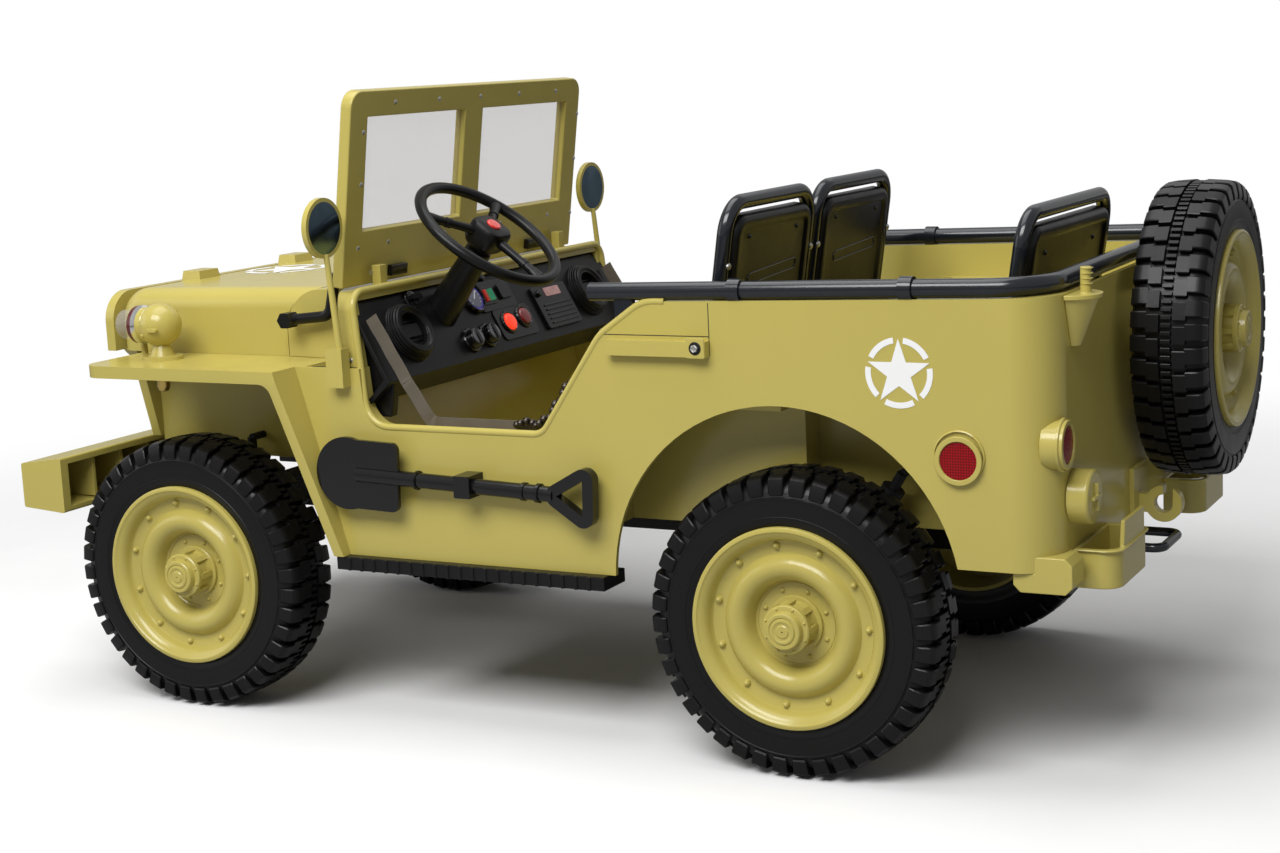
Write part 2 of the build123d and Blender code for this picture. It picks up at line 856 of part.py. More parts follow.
# Chassis: two rails and cross members under the floor
rail_top_z = floor_z - wall
with BuildPart() as chassis:
    for sign in (1, -1):
        with BuildSketch(side_plane(sign * rail_y)):
            with Locations(((bumper_rear_x + chassis_rear_x) / 2, rail_top_z - rail_height / 2)):
                Rectangle(bumper_rear_x - chassis_rear_x, rail_height)
        extrude(amount=rail_width / 2, both=True)
    for x in (front_axle_x, seat_bay_front_x + rail_y, rear_axle_x, chassis_rear_x + crossmember_width):
        with BuildSketch(Plane.XY.offset(rail_top_z)):
            with Locations((x, 0)):
                Rectangle(crossmember_width, 2 * rail_y)
        extrude(amount=-rail_height)
save(chassis, "chassis")

# Front axle: beam, hangers to the rails and a kingpin sleeve at each end
with BuildPart() as front_axle:
    with BuildSketch(side_plane(0)):
        with Locations((front_axle_x, axle_z)):
            Circle(axle_radius)
    extrude(amount=kingpin_y - kingpin_radius, both=True)
    for sign in (1, -1):
        with BuildSketch(Plane.XY.offset(axle_z)):
            with Locations((front_axle_x, sign * kingpin_y)):
                Circle(sleeve_radius)
        extrude(amount=sleeve_height / 2, both=True)
        with BuildSketch(Plane.XY.offset(axle_z)):
            with Locations((front_axle_x, sign * rail_y)):
                Rectangle(2 * axle_radius, rail_width)
        extrude(amount=rail_top_z - rail_height - axle_z)
    for sign in (1, -1):
        with BuildSketch(Plane.XY.offset(axle_z)):
            with Locations((front_axle_x, sign * kingpin_y)):
                Circle(kingpin_radius + kingpin_clearance)
        extrude(amount=sleeve_height, both=True, mode=Mode.SUBTRACT)
save(front_axle, "front_axle")

# Knuckles: fork with the kingpin, and the stub axle that carries the wheel
for side, sign in side_sign.items():
    with BuildPart() as knuckle:
        fork_y = kingpin_y + sleeve_radius + knuckle_gap
        ear_low = axle_z + sleeve_height / 2 + knuckle_gap
        with BuildSketch(Plane.XY.offset(axle_z)):
            with Locations((front_axle_x, sign * kingpin_y)):
                Circle(kingpin_radius)
        extrude(amount=sleeve_height / 2 + knuckle_gap + knuckle_ear, both=True)
        for way in (1, -1):
            with BuildSketch(Plane.XY.offset(axle_z + way * (sleeve_height / 2 + knuckle_gap))):
                with Locations((front_axle_x, sign * (kingpin_y + fork_y) / 2)):
                    Rectangle(knuckle_width, fork_y - kingpin_y + sleeve_radius)
            extrude(amount=way * knuckle_ear)
        with BuildSketch(side_plane(sign * fork_y)):
            with Locations((front_axle_x, axle_z)):
                Rectangle(knuckle_width, sleeve_height + 2 * (knuckle_gap + knuckle_ear))
        extrude(amount=-sign * stub_radius)
        with BuildSketch(side_plane(sign * fork_y)):
            with Locations((front_axle_x, axle_z)):
                Circle(stub_radius)
        extrude(amount=-sign * (wheel_centre_y + rim_disc_depth - fork_y))
    save(knuckle, "knuckle_" + side)

# Rear axle: beam, two motor gearboxes and the stubs that carry the wheels
with BuildPart() as rear_axle:
    with BuildSketch(side_plane(0)):
        with Locations((rear_axle_x, axle_z)):
            Circle(stub_radius)
    extrude(amount=wheel_centre_y + rim_disc_depth, both=True)
    with BuildSketch(side_plane(0)):
        with Locations((rear_axle_x, axle_z)):
            Circle(axle_radius)
    extrude(amount=gearbox_y, both=True)
    for sign in (1, -1):
        with BuildSketch(side_plane(sign * gearbox_y)):
            gearbox_x = rear_axle_x + gearbox_length / 2 - 2 * axle_radius
            with Locations((gearbox_x, axle_z + gearbox_height / 2 - 2 * axle_radius)):
                Rectangle(gearbox_length, gearbox_height)
        extrude(amount=gearbox_width / 2, both=True)
        with BuildSketch(Plane.XY.offset(axle_z)):
            with Locations((rear_axle_x, sign * rail_y)):
                Rectangle(2 * axle_radius, rail_width)
        extrude(amount=rail_top_z - rail_height - axle_z)
save(rear_axle, "rear_axle")

# Dampers: a tube with a spring seat over a rod, and the bolts that hold its ends
with BuildPart() as dampers:
    damper_places = (
        # foot x, foot z, head x, head z, y, inner end of foot bolt, inner end of head bolt
        (damper_foot_x, damper_foot_z, damper_head_x, damper_head_z, damper_y,
         gearbox_y + gearbox_width / 2, rear_bay_half + wall),
        (front_axle_x, axle_z + axle_radius, front_axle_x, front_damper_head_z, front_damper_y,
         front_damper_y, engine_bay_half),
    )
    # Stations along the damper: share of its length, share of its radius
    station_shares = ((0, 0.45), (0.18, 0.45), (0.18, 0.9), (0.22, 0.9), (0.22, 0.7), (0.82, 0.7),
                      (0.82, 1), (0.88, 1), (0.88, 0.45), (1, 0.45))
    for foot_x, foot_z, head_x, head_z, y, foot_bolt, head_bolt in damper_places:
        for sign in (1, -1):
            way = Vector(head_x - foot_x, 0, head_z - foot_z)
            foot = Plane(origin=(foot_x, sign * y, foot_z), z_dir=way)
            outline = [(damper_radius * r, way.length * h) for h, r in station_shares]
            with BuildSketch(Plane(origin=foot.origin, x_dir=foot.x_dir, z_dir=-foot.y_dir)):
                Polygon((0, 0), *outline, (0, way.length), align=None)
            revolve(axis=Axis(foot.origin, foot.z_dir))
            for x, z, inner in ((foot_x, foot_z, foot_bolt), (head_x, head_z, head_bolt)):
                if inner < y:
                    with BuildSketch(side_plane(sign * inner)):
                        with Locations((x, z)):
                            Circle(damper_bolt_radius)
                    extrude(amount=-sign * (y - inner))
    # The front dampers stand on the axle beam
    with BuildSketch(side_plane(0)):
        with Locations((front_axle_x, axle_z)):
            Circle(axle_radius)
    extrude(amount=kingpin_y, both=True, mode=Mode.SUBTRACT)
save(dampers, "dampers")

# Rim, made once about its own centre with its face to +Y, used five times
rim_face = tyre_width / 2 + rim_lip_out
hub_face = tyre_width / 2 + hub_out
with BuildPart() as rim_form:
    with BuildSketch(Plane.YZ):
        with BuildLine():
            Polyline(
                (-tyre_width / 2, rim_seat_radius - rim_sheet),
                (-tyre_width / 2, rim_seat_radius),
                (tyre_width / 2 - rim_lip_out, rim_seat_radius),
                (tyre_width / 2 - rim_lip_out, rim_radius),
                (rim_face, rim_radius),
                (rim_face, rim_radius - rim_lip_out),
                (rim_face - rim_lip_out, rim_radius - rim_groove),
                (rim_face - rim_ring_depth, rim_radius - 2 * rim_groove),
                (rim_face - rim_ring_depth, rim_ring_radius),
            )
            ThreePointArc(
                (rim_face - rim_ring_depth, rim_ring_radius),
                (rim_face - rim_crest_depth, rim_crest_radius),
                (rim_face - rim_disc_depth, rim_disc_radius),
            )
            Polyline(
                (rim_face - rim_disc_depth, rim_disc_radius),
                (rim_face - rim_disc_depth, hub_radius),
                (hub_face - hub_out + hub_shoulder_out, hub_radius),
                (hub_face - hub_out + hub_shoulder_out, hub_cap_radius),
                (hub_face, hub_cap_radius),
                (hub_face, 0),
                (rim_face, 0),
                (rim_face, stub_radius + stub_clearance),
                (hub_gap - rim_disc_depth, stub_radius + stub_clearance),
                (hub_gap - rim_disc_depth, hub_cap_radius),
                (rim_face - rim_disc_depth - rim_sheet, hub_cap_radius),
                (rim_face - rim_disc_depth - rim_sheet, rim_disc_radius + rim_sheet),
                (rim_face - rim_ring_depth - rim_sheet, rim_ring_radius),
                (rim_face - rim_ring_depth - rim_sheet, rim_seat_radius - rim_sheet),
                (-tyre_width / 2, rim_seat_radius - rim_sheet),
            )
        make_face()
    revolve(axis=Axis.Y)

# Tyre about its own centre: carcass with a flat crown and two staggered rows of lugs
lug_half_angle = degrees(asin(lug_width / 2 / wheel_radius))
with BuildPart() as tyre_form:
    with BuildSketch(Plane.YZ):
        with BuildLine():
            Polyline(
                (-tyre_width / 2 + rim_lip_out, rim_radius),
                (-tyre_width / 2 + rim_lip_out, rim_seat_radius),
                (tyre_width / 2 - rim_lip_out, rim_seat_radius),
                (tyre_width / 2 - rim_lip_out, rim_radius),
            )
            ThreePointArc(
                (tyre_width / 2 - rim_lip_out, rim_radius),
                (tyre_width / 2, (rim_radius + tyre_carcass) / 2),
                (tread_half, tread_root),
            )
            Line((tread_half, tread_root), (-tread_half, tread_root))
            ThreePointArc(
                (-tread_half, tread_root),
                (-tyre_width / 2, (rim_radius + tyre_carcass) / 2),
                (-tyre_width / 2 + rim_lip_out, rim_radius),
            )
        make_face()
    revolve(axis=Axis.Y)
    lug_tip = sqrt(wheel_radius ** 2 - (lug_width / 2) ** 2)
    lug_rows = (
        # side, start angle: one row has a corner on the ground, the other is half a pitch on
        (1, -90 + lug_half_angle),
        (-1, -90 + lug_half_angle + 180 / lug_count),
    )
    for sign, start in lug_rows:
        with BuildSketch(side_plane(sign * lug_inner_y)):
            with PolarLocations((lug_tip + rim_radius) / 2, lug_count, start_angle=start):
                Rectangle(lug_tip - rim_radius, lug_width)
        extrude(amount=-sign * (lug_outer_y - lug_inner_y))

# Planes whose Y axis is the way that a wheel's face looks
spare_x = tail_end_x + hub_face
wheel_places = {
    "front_left": Plane((front_axle_x, wheel_centre_y, axle_z), x_dir=(1, 0, 0)),
    "front_right": Plane((front_axle_x, -wheel_centre_y, axle_z), x_dir=(-1, 0, 0)),
    "rear_left": Plane((rear_axle_x, wheel_centre_y, axle_z), x_dir=(1, 0, 0)),
    "rear_right": Plane((rear_axle_x, -wheel_centre_y, axle_z), x_dir=(-1, 0, 0)),
    "spare": Plane((spare_x, spare_y, spare_z), x_dir=(0, 1, 0)),
}
for name, wheel_seat in wheel_places.items():
    place = wheel_seat.location
    with BuildPart() as tyre:
        add(tyre_form.part.moved(place))
    save(tyre, "tyre_" + name)
    with BuildPart() as rim:
        add(rim_form.part.moved(place))
    save(rim, "rim_" + name)

# Spare wheel carrier: boss on the tail and the stud through the rim
with BuildPart() as spare_carrier:
    disc_back_x = spare_x - rim_face + rim_disc_depth + rim_sheet
    hub_back_x = spare_x - hub_gap + rim_disc_depth
    with BuildSketch(Plane.YZ.offset(tail_x)):
        with Locations((spare_y, spare_z)):
            Circle(spare_boss_radius)
    extrude(amount=hub_back_x - tail_x)
    with BuildSketch(Plane.YZ.offset(hub_back_x)):
        with Locations((spare_y, spare_z)):
            Circle(stub_radius)
    extrude(amount=-(hub_back_x - spare_x))
save(spare_carrier, "spare_carrier")

# Dash panel with its two round vent pods, under the cowl's roof
dash_top_z = cowl_top_front_z - cowl_wall
dash_knee = Vector(dash_knee_x, 0, dash_knee_z)
dash_rise = (Vector(dash_brow_x, 0, dash_top_z) - dash_knee).normalized()
dash_face = Plane(origin=dash_knee, x_dir=(0, 1, 0), z_dir=(-dash_rise.Z, 0, dash_rise.X))
with BuildPart() as dash:
    with BuildSketch(Plane.XZ):
        Polygon(
            (cowl_flare_x, dash_top_z),
            (dash_brow_x, dash_top_z),
            (dash_knee_x, dash_knee_z),
            (dash_foot_x, dash_foot_z),
            (dash_foot_x + dash_wall / 2, dash_foot_z + dash_wall),
            (dash_knee_x + 1.5 * dash_wall, dash_knee_z + dash_wall / 2),
            (dash_brow_x + dash_wall / 2, dash_top_z - dash_wall),
            (cowl_flare_x, dash_top_z - dash_wall),
            align=None,
        )
    extrude(amount=dash_half, both=True)
    add(cowl.part, mode=Mode.SUBTRACT)
    with BuildSketch(dash_face.offset(-dash_wall / 2)):
        with Locations((pod_y, -pod_rise), (-pod_y, -pod_rise)):
            Circle(pod_radius)
    extrude(amount=pod_depth + dash_wall / 2)
    with BuildSketch(dash_face.offset(dash_wall / 2)):
        with Locations((pod_y, -pod_rise), (-pod_y, -pod_rise)):
            Circle(pod_bore)
    extrude(amount=pod_depth, mode=Mode.SUBTRACT)
save(dash, "dash")

# Dash controls: gauge, knobs and buttons are round, switch panel and radio are boxes
with BuildPart() as dash_controls:
    round_controls = (
        # y, rise up the dash, radius, height
        (gauge_y, gauge_rise, gauge_radius, gauge_height),
        (knob_left_y, knob_rise, knob_radius, knob_height),
        (knob_right_y, knob_rise, knob_radius, knob_height),
        (button_left_y, button_rise, button_radius, button_height),
        (button_right_y, button_rise, button_radius, button_height),
        (ignition_y, ignition_rise, knob_radius, knob_height),
    )
    for y, rise, radius, height in round_controls:
        with BuildSketch(dash_face):
            with Locations((y, -rise)):
                Circle(radius)
        extrude(amount=height)
    boxes = (
        # y, rise, width, height on the dash, depth
        (switches_y, switches_rise, switches_width, switches_height, button_height),
        (radio_y, radio_rise, radio_width, radio_height, button_height),
    )
    for y, rise, width, height, depth in boxes:
        with BuildSketch(dash_face):
            with Locations((y, -rise)):
                Rectangle(width, height)
        extrude(amount=depth)
save(dash_controls, "dash_controls")

# Steering column from the dash towards the wheel
column_way = Vector(-cos(radians(column_angle)), 0, sin(radians(column_angle)))
wheel_centre = Vector(wheel_x, wheel_y, wheel_z)
column_head = wheel_centre - column_way * steering_hub_depth
with BuildPart() as steering_column:
    with BuildSketch(Plane(origin=column_head, z_dir=-column_way)):
        Circle(column_radius)
    extrude(amount=column_length, taper=-3)
    with BuildSketch(Plane(origin=column_head, z_dir=column_way)):
        Circle(column_spigot)
    extrude(amount=column_spigot)
    # The lower end sits on the dash face
    with BuildSketch(dash_face):
        with Locations((wheel_y, 0)):
            Rectangle(4 * column_length, 4 * column_length)
    extrude(amount=-column_length, mode=Mode.SUBTRACT)
save(steering_column, "steering_column")

# Steering wheel: rim, three spokes and a hub
with BuildPart() as steering_wheel:
    wheel_plane = Plane(origin=wheel_centre, x_dir=(0, 1, 0), z_dir=column_way)
    with BuildSketch(Plane(origin=wheel_centre, x_dir=(0, 1, 0), z_dir=wheel_plane.y_dir)):
        with Locations((steering_rim_radius, 0)):
            Circle(steering_grip_radius)
    revolve(axis=Axis(wheel_centre, column_way))
    for spoke_angle in (0, 120, 240):
        angle = radians(spoke_angle - 90)
        out = wheel_plane.x_dir * cos(angle) + wheel_plane.y_dir * sin(angle)
        with BuildSketch(Plane(origin=wheel_centre - column_way * steering_spoke_radius, z_dir=out)):
            Circle(steering_spoke_radius)
        extrude(amount=steering_rim_radius)
    with BuildSketch(Plane(origin=column_head + column_way * knuckle_gap, z_dir=column_way)):
        Circle(steering_hub_radius)
    extrude(amount=steering_hub_depth)
    with BuildSketch(Plane(origin=column_head, z_dir=column_way)):
        Circle(column_spigot + stub_clearance)
    extrude(amount=column_spigot + column_radius / 2, mode=Mode.SUBTRACT)
save(steering_wheel, "steering_wheel")

with BuildPart() as horn_button:
    horn_seat = column_head + column_way * (steering_hub_depth + knuckle_gap)
    with BuildSketch(Plane(origin=horn_seat, z_dir=column_way)):
        Circle(horn_radius)
    extrude(amount=horn_height, taper=12)
save(horn_button, "horn_button")

# Seat frames: a bent tube behind each back
lean = radians(seat_back_recline)
seat_rows = {
    # row: foot x, foot z, top z, half width, centres
    "front": (seat_back_foot_x, seat_base_z, seat_top_z, seat_frame_half, (seat_y, -seat_y)),
    "rear": (rear_seat_foot_x, rear_floor_z, rear_seat_top_z, rear_seat_half, (0,)),
}
with BuildPart() as seat_frames:
    for foot_x, foot_z, head_z, half, centres in seat_rows.values():
        rise = (head_z - seat_tube_radius - foot_z) / cos(lean)
        for y in centres:
            frame_foot_z = foot_z + seat_tube_radius * sin(lean)
            frame_plane = Plane((foot_x, y, frame_foot_z), x_dir=(0, 1, 0), z_dir=(cos(lean), 0, sin(lean)))
            reach = half - seat_tube_radius
            with BuildLine(frame_plane):
                FilletPolyline(
                    (-reach, 0), (-reach, rise), (reach, rise), (reach, 0),
                    radius=4 * seat_tube_radius,
                )
            frame_foot = frame_plane.from_local_coords((-reach, 0, 0))
            with BuildSketch(Plane(origin=frame_foot, z_dir=frame_plane.y_dir)):
                Circle(seat_tube_radius)
            sweep()
save(seat_frames, "seat_frames")

# Seat backs and cushions in black plastic
with BuildPart() as seats:
    for foot_x, foot_z, head_z, half, centres in seat_rows.values():
        rise = (head_z - seat_tube_radius - foot_z) / cos(lean)
        for y in centres:
            back_plane = Plane(origin=(foot_x, y, foot_z), x_dir=(0, 1, 0), z_dir=(cos(lean), 0, sin(lean)))
            with BuildSketch(back_plane):
                with Locations((0, (seat_back_foot + rise - seat_back_drop) / 2)):
                    RectangleRounded(
                        2 * half - 4 * seat_tube_radius,
                        rise - seat_back_drop - seat_back_foot,
                        3 * seat_tube_radius,
                    )
            extrude(amount=seat_back_thick / 2, both=True)
    for sign in (1, -1):
        with BuildSketch(Plane.XY.offset(seat_base_z)):
            with Locations(((seat_cushion_front_x + seat_cushion_rear_x) / 2, sign * seat_y)):
                cushion_length = seat_cushion_front_x - seat_cushion_rear_x
                RectangleRounded(cushion_length, 2 * seat_frame_half - 2 * wall, 2 * wall)
        extrude(amount=seat_cushion_height)
    with BuildSketch(Plane.XY.offset(rear_floor_z)):
        with Locations(((rear_cushion_front_x + rear_cushion_rear_x) / 2, 0)):
            RectangleRounded(rear_cushion_front_x - rear_cushion_rear_x, 2 * rear_seat_half, 2 * wall)
    extrude(amount=rear_cushion_top_z - rear_floor_z)
save(seats, "seats")

# Side rail: one tube along both sides and round the tail, with its clamps
rail_height_front = top_z(rail_front_x) + rail_lift + rail_tube_radius
rail_height_tail = top_z(rail_tail_x) + rail_lift + rail_tube_radius
with BuildPart() as side_rail:
    with BuildLine():
        FilletPolyline(
            (rail_front_x, rail_tube_y, rail_height_front),
            (rail_tail_x, rail_tube_y, rail_height_tail),
            (rail_tail_x, -rail_tube_y, rail_height_tail),
            (rail_front_x, -rail_tube_y, rail_height_front),
            radius=rail_corner_radius,
        )
    with BuildSketch(Plane(
        origin=(rail_front_x, rail_tube_y, rail_height_front),
        z_dir=(rail_tail_x - rail_front_x, 0, rail_height_tail - rail_height_front),
    )):
        Circle(rail_tube_radius)
    sweep()
    for x in (clamp_front_x, clamp_rear_x):
        share = (x - rail_front_x) / (rail_tail_x - rail_front_x)
        z = rail_height_front + share * (rail_height_tail - rail_height_front)
        for sign in (1, -1):
            with BuildSketch(Plane.YZ.offset(x - clamp_length / 2)):
                with Locations((sign * rail_tube_y, z)):
                    Circle(rail_tube_radius + clamp_wall)
            extrude(amount=clamp_length)
            with BuildSketch(Plane.YZ.offset(x - clamp_length)):
                with Locations((sign * rail_tube_y, top_z(x) - clamp_wall - rail_tube_radius)):
                    Rectangle(4 * rail_tube_radius, 2 * rail_tube_radius + 2 * clamp_wall)
            extrude(amount=2 * clamp_length, mode=Mode.SUBTRACT)
    # Posts under the front ends, down to the tub's shoulders
    with BuildSketch(Plane.XY.offset(rail_height_front)):
        with Locations((rail_post_x, rail_tube_y), (rail_post_x, -rail_tube_y)):
            Rectangle(rail_post_length, rail_tube_radius)
    extrude(amount=-2 * rail_tube_radius - clamp_length)
    add(tub.part, mode=Mode.SUBTRACT)
save(side_rail, "side_rail")

# Shovel clipped to the left side: its plane has X along the shaft to the tip
shovel_plane = Plane(
    origin=(shovel_shoulder_x, shovel_y, shovel_z),
    x_dir=(cos(radians(shovel_tilt)), 0, sin(radians(shovel_tilt))),
    z_dir=(0, -1, 0),
)
blade_length = shovel_tip_x - shovel_shoulder_x
grip_start = shovel_grip_x - shovel_shoulder_x
grip_end = grip_start - shovel_grip_length
with BuildPart() as shovel:
    with BuildSketch(shovel_plane) as blade:
        with BuildLine():
            Polyline(
                (blade_length / 2, shovel_blade_half),
                (0, shovel_blade_half),
                (0, -shovel_blade_half),
                (blade_length / 2, -shovel_blade_half),
            )
            ThreePointArc(
                (blade_length / 2, -shovel_blade_half),
                (blade_length, 0),
                (blade_length / 2, shovel_blade_half),
            )
        make_face()
        fillet(blade.vertices().sort_by(Axis.X)[:2], radius=shovel_corner_radius)
    extrude(amount=shovel_blade_thick / 2, both=True)
    # Shaft with a socket on the blade
    shaft_plane = Plane(origin=shovel_plane.origin, x_dir=(0, 1, 0), z_dir=-shovel_plane.x_dir)
    with BuildSketch(shaft_plane.offset(-blade_length / 2)):
        Circle(shovel_shaft_radius)
    extrude(amount=blade_length / 2 - grip_start + shovel_grip_bar + shovel_grip_radius)
    # D-shaped grip
    with BuildSketch(shovel_plane) as grip:
        with BuildLine():
            Polyline(
                (grip_start, 0),
                (grip_end, shovel_grip_half),
                (grip_end, -shovel_grip_half),
                close=True,
            )
        make_face()
        fillet(grip.vertices(), radius=2 * shovel_grip_radius)
        offset(amount=-shovel_grip_bar, mode=Mode.SUBTRACT)
    extrude(amount=shovel_grip_radius, both=True)
    clip_z = shovel_z - (shovel_shoulder_x - shovel_clip_x) * sin(radians(shovel_tilt))
    with BuildSketch(side_plane(body_half)):
        with Locations((shovel_clip_x, clip_z)):
            Rectangle(shovel_clip_length, 2 * shovel_shaft_radius + 2 * shovel_clip_wall)
    extrude(amount=-(shovel_y + shovel_shaft_radius + shovel_clip_wall - body_half))
save(shovel, "shovel")

# Round lamp on the left fender: ball, neck and foot
with BuildPart() as fender_lamp:
    with BuildSketch(Plane.XY.offset(fender_top_z)):
        with Locations((lamp_x, lamp_y)):
            Ellipse(lamp_base_length / 2, lamp_base_width / 2)
    extrude(amount=lamp_base_thick)
    with BuildSketch(Plane.XZ.offset(-lamp_y)):
        with BuildLine():
            Polyline(
                (lamp_x, fender_top_z),
                (lamp_x + lamp_foot_radius, fender_top_z + lamp_base_thick),
                (lamp_x + lamp_neck_radius, lamp_z - 0.8 * lamp_ball_radius),
                (lamp_x, lamp_z),
                close=True,
            )
        make_face()
    revolve(axis=Axis((lamp_x, lamp_y, 0), (0, 0, 1)))
    with Locations((lamp_x, lamp_y, lamp_z)):
        Sphere(lamp_ball_radius)
    with BuildSketch(Plane.YZ.offset(lamp_x)):
        with Locations((lamp_y, lamp_z)):
            Circle(lamp_ring_radius)
    extrude(amount=lamp_ball_radius + wall / 2)
save(fender_lamp, "fender_lamp")

with BuildPart() as fender_lamp_glass:
    with BuildSketch(Plane.YZ.offset(lamp_x + lamp_ball_radius + wall / 2)):
        with Locations((lamp_y, lamp_z)):
            Circle(lamp_lens_radius)
    extrude(amount=lamp_lens_length)
save(fender_lamp_glass, "fender_lamp_glass")

# Reflector housings on the sides and the tail
with BuildPart() as reflector_housings:
    for sign in (1, -1):
        with BuildSketch(side_plane(sign * body_half)):
            with Locations((side_reflector_x, side_reflector_z)):
                Circle(bezel_radius)
                Circle(lens_radius, mode=Mode.SUBTRACT)
        extrude(amount=-sign * bezel_depth)
        with BuildSketch(Plane.YZ.offset(tail_x - bezel_depth)):
            with Locations((sign * tail_reflector_y, tail_reflector_z)):
                Circle(bezel_radius)
                Circle(lens_radius, mode=Mode.SUBTRACT)
        extrude(amount=tail_corner_radius / 2)
    add(tub.part, mode=Mode.SUBTRACT)
save(reflector_housings, "reflector_housings")

with BuildPart() as reflector_lenses:
    for sign in (1, -1):
        with BuildSketch(side_plane(sign * body_half)):
            with Locations((side_reflector_x, side_reflector_z)):
                Circle(lens_radius)
        extrude(amount=-sign * lens_depth)
        with BuildSketch(Plane.YZ.offset(tail_x - lens_depth)):
            with Locations((sign * tail_reflector_y, tail_reflector_z)):
                Circle(lens_radius)
        extrude(amount=tail_corner_radius / 2)
    add(tub.part, mode=Mode.SUBTRACT)
save(reflector_lenses, "reflector_lenses")

# Round cap low on the left of the tail
with BuildPart() as tail_cap:
    with BuildSketch(Plane.YZ.offset(tail_x)):
        with Locations((cap_y, cap_z)):
            Circle(cap_radius)
    extrude(amount=-cap_depth)
    fillet(tail_cap.faces().sort_by(Axis.X)[0].edges(), radius=cap_rib)
    with BuildSketch(Plane.YZ.offset(tail_x - cap_depth)):
        with Locations((cap_y, cap_z)):
            Rectangle(cap_radius, cap_rib)
            Rectangle(cap_rib, cap_radius)
    extrude(amount=-cap_rib)
save(tail_cap, "tail_cap")

# Aerial bracket: half cone with a flange and a stud
with BuildPart() as aerial_bracket:
    with BuildSketch(Plane.XY.offset(aerial_bottom_z)):
        with Locations((tail_x, aerial_y)):
            Circle(aerial_bottom_radius)
    with BuildSketch(Plane.XY.offset(aerial_top_z)):
        with Locations((tail_x, aerial_y)):
            Circle(aerial_top_radius)
    loft()
    with BuildSketch(Plane.XY.offset(aerial_top_z)):
        with Locations((tail_x, aerial_y)):
            Circle(aerial_top_radius + wall / 2)
    extrude(amount=aerial_flange)
    with BuildSketch(Plane.XY.offset(aerial_bottom_z - overrun)):
        with Locations((tail_x + 2 * aerial_top_radius, aerial_y)):
            Rectangle(4 * aerial_top_radius, 4 * aerial_top_radius)
    extrude(amount=aerial_top_z - aerial_bottom_z + 2 * overrun, mode=Mode.SUBTRACT)
    with BuildSketch(Plane.XY.offset(aerial_top_z + aerial_flange)):
        with Locations((tail_x - aerial_top_radius / 2, aerial_y)):
            Circle(aerial_stud_radius)
    extrude(amount=aerial_stud_height)
save(aerial_bracket, "aerial_bracket")

# Can racks either side of the tow hook: round-cornered bins with a higher rear wall
with BuildPart() as can_racks:
    for sign in (1, -1):
        rack_centre = sign * (rack_inner_y + rack_outer_y) / 2
        # Bodies: growth of the outline, bottom and top heights
        shells = ((0, rack_bottom_z, rack_side_z), (rack_lip, rack_side_z - rack_lip, rack_side_z))
        for grown, low, high in shells:
            with BuildSketch(Plane.XY.offset(low)) as plan:
                with Locations((tail_x - (rack_depth + grown) / 2, rack_centre)):
                    Rectangle(rack_depth + grown, rack_outer_y - rack_inner_y + 2 * grown)
                fillet(plan.vertices().sort_by(Axis.X)[:2], radius=rack_corner_radius)
            extrude(amount=high - low)
        with BuildSketch(Plane.YZ.offset(tail_x - rack_depth)):
            Polygon(
                (sign * (rack_inner_y + rack_corner_radius), rack_side_z),
                (sign * (rack_outer_y - rack_corner_radius), rack_side_z),
                (sign * (rack_outer_y - rack_corner_radius - rack_wall), rack_rear_z),
                (sign * (rack_inner_y + rack_corner_radius), rack_rear_z),
                align=None,
            )
        extrude(amount=rack_wall)
        with BuildSketch(Plane.XY.offset(rack_bottom_z + rack_wall)) as inside:
            with Locations((tail_x - rack_depth / 2, rack_centre)):
                Rectangle(rack_depth - 2 * rack_wall, rack_outer_y - rack_inner_y - 2 * rack_wall)
            fillet(inside.vertices().sort_by(Axis.X)[:2], radius=rack_corner_radius - rack_wall)
        extrude(amount=rack_rear_z - rack_bottom_z, mode=Mode.SUBTRACT)
save(can_racks, "can_racks")

# Bumperettes: bevelled blocks at the tail's lower corners
with BuildPart() as bumperettes:
    for sign in (1, -1):
        with BuildSketch(Plane.XY.offset(bumperette_bottom_z)):
            with Locations((tail_x + (tail_corner_radius - bumperette_depth) / 2, sign * bumperette_y)):
                Rectangle(bumperette_depth + tail_corner_radius, bumperette_width)
        extrude(amount=bumperette_top_z - bumperette_bottom_z)
    chamfer(bumperettes.faces().filter_by(Axis.X).edges().filter_by(Axis.Y), length=bumperette_chamfer)
    add(tub.part, mode=Mode.SUBTRACT)
save(bumperettes, "bumperettes")

# Tow hook on its plate: a jaw that is open above, at the rear
with BuildPart() as tow_hook:
    with BuildSketch(Plane.YZ.offset(tail_x)):
        with Locations((0, hook_z + hook_plate / 4)):
            Rectangle(hook_plate, hook_plate)
    extrude(amount=-hook_plate_thick)
    jaw_x = tail_x - hook_reach + hook_throat_radius
    with BuildSketch(Plane.XZ):
        with Locations((jaw_x, hook_z)):
            Circle(2 * hook_throat_radius)
        with Locations(((tail_x + jaw_x) / 2, hook_z)):
            Rectangle(tail_x - jaw_x, 2 * hook_throat_radius)
        with Locations((jaw_x, hook_z)):
            Circle(hook_throat_radius, mode=Mode.SUBTRACT)
        with Locations((jaw_x - hook_throat_radius / 2, hook_z + hook_throat_radius)):
            Rectangle(hook_throat_radius, 2 * hook_throat_radius, mode=Mode.SUBTRACT)
    extrude(amount=hook_thick / 2, both=True)
save(tow_hook, "tow_hook")

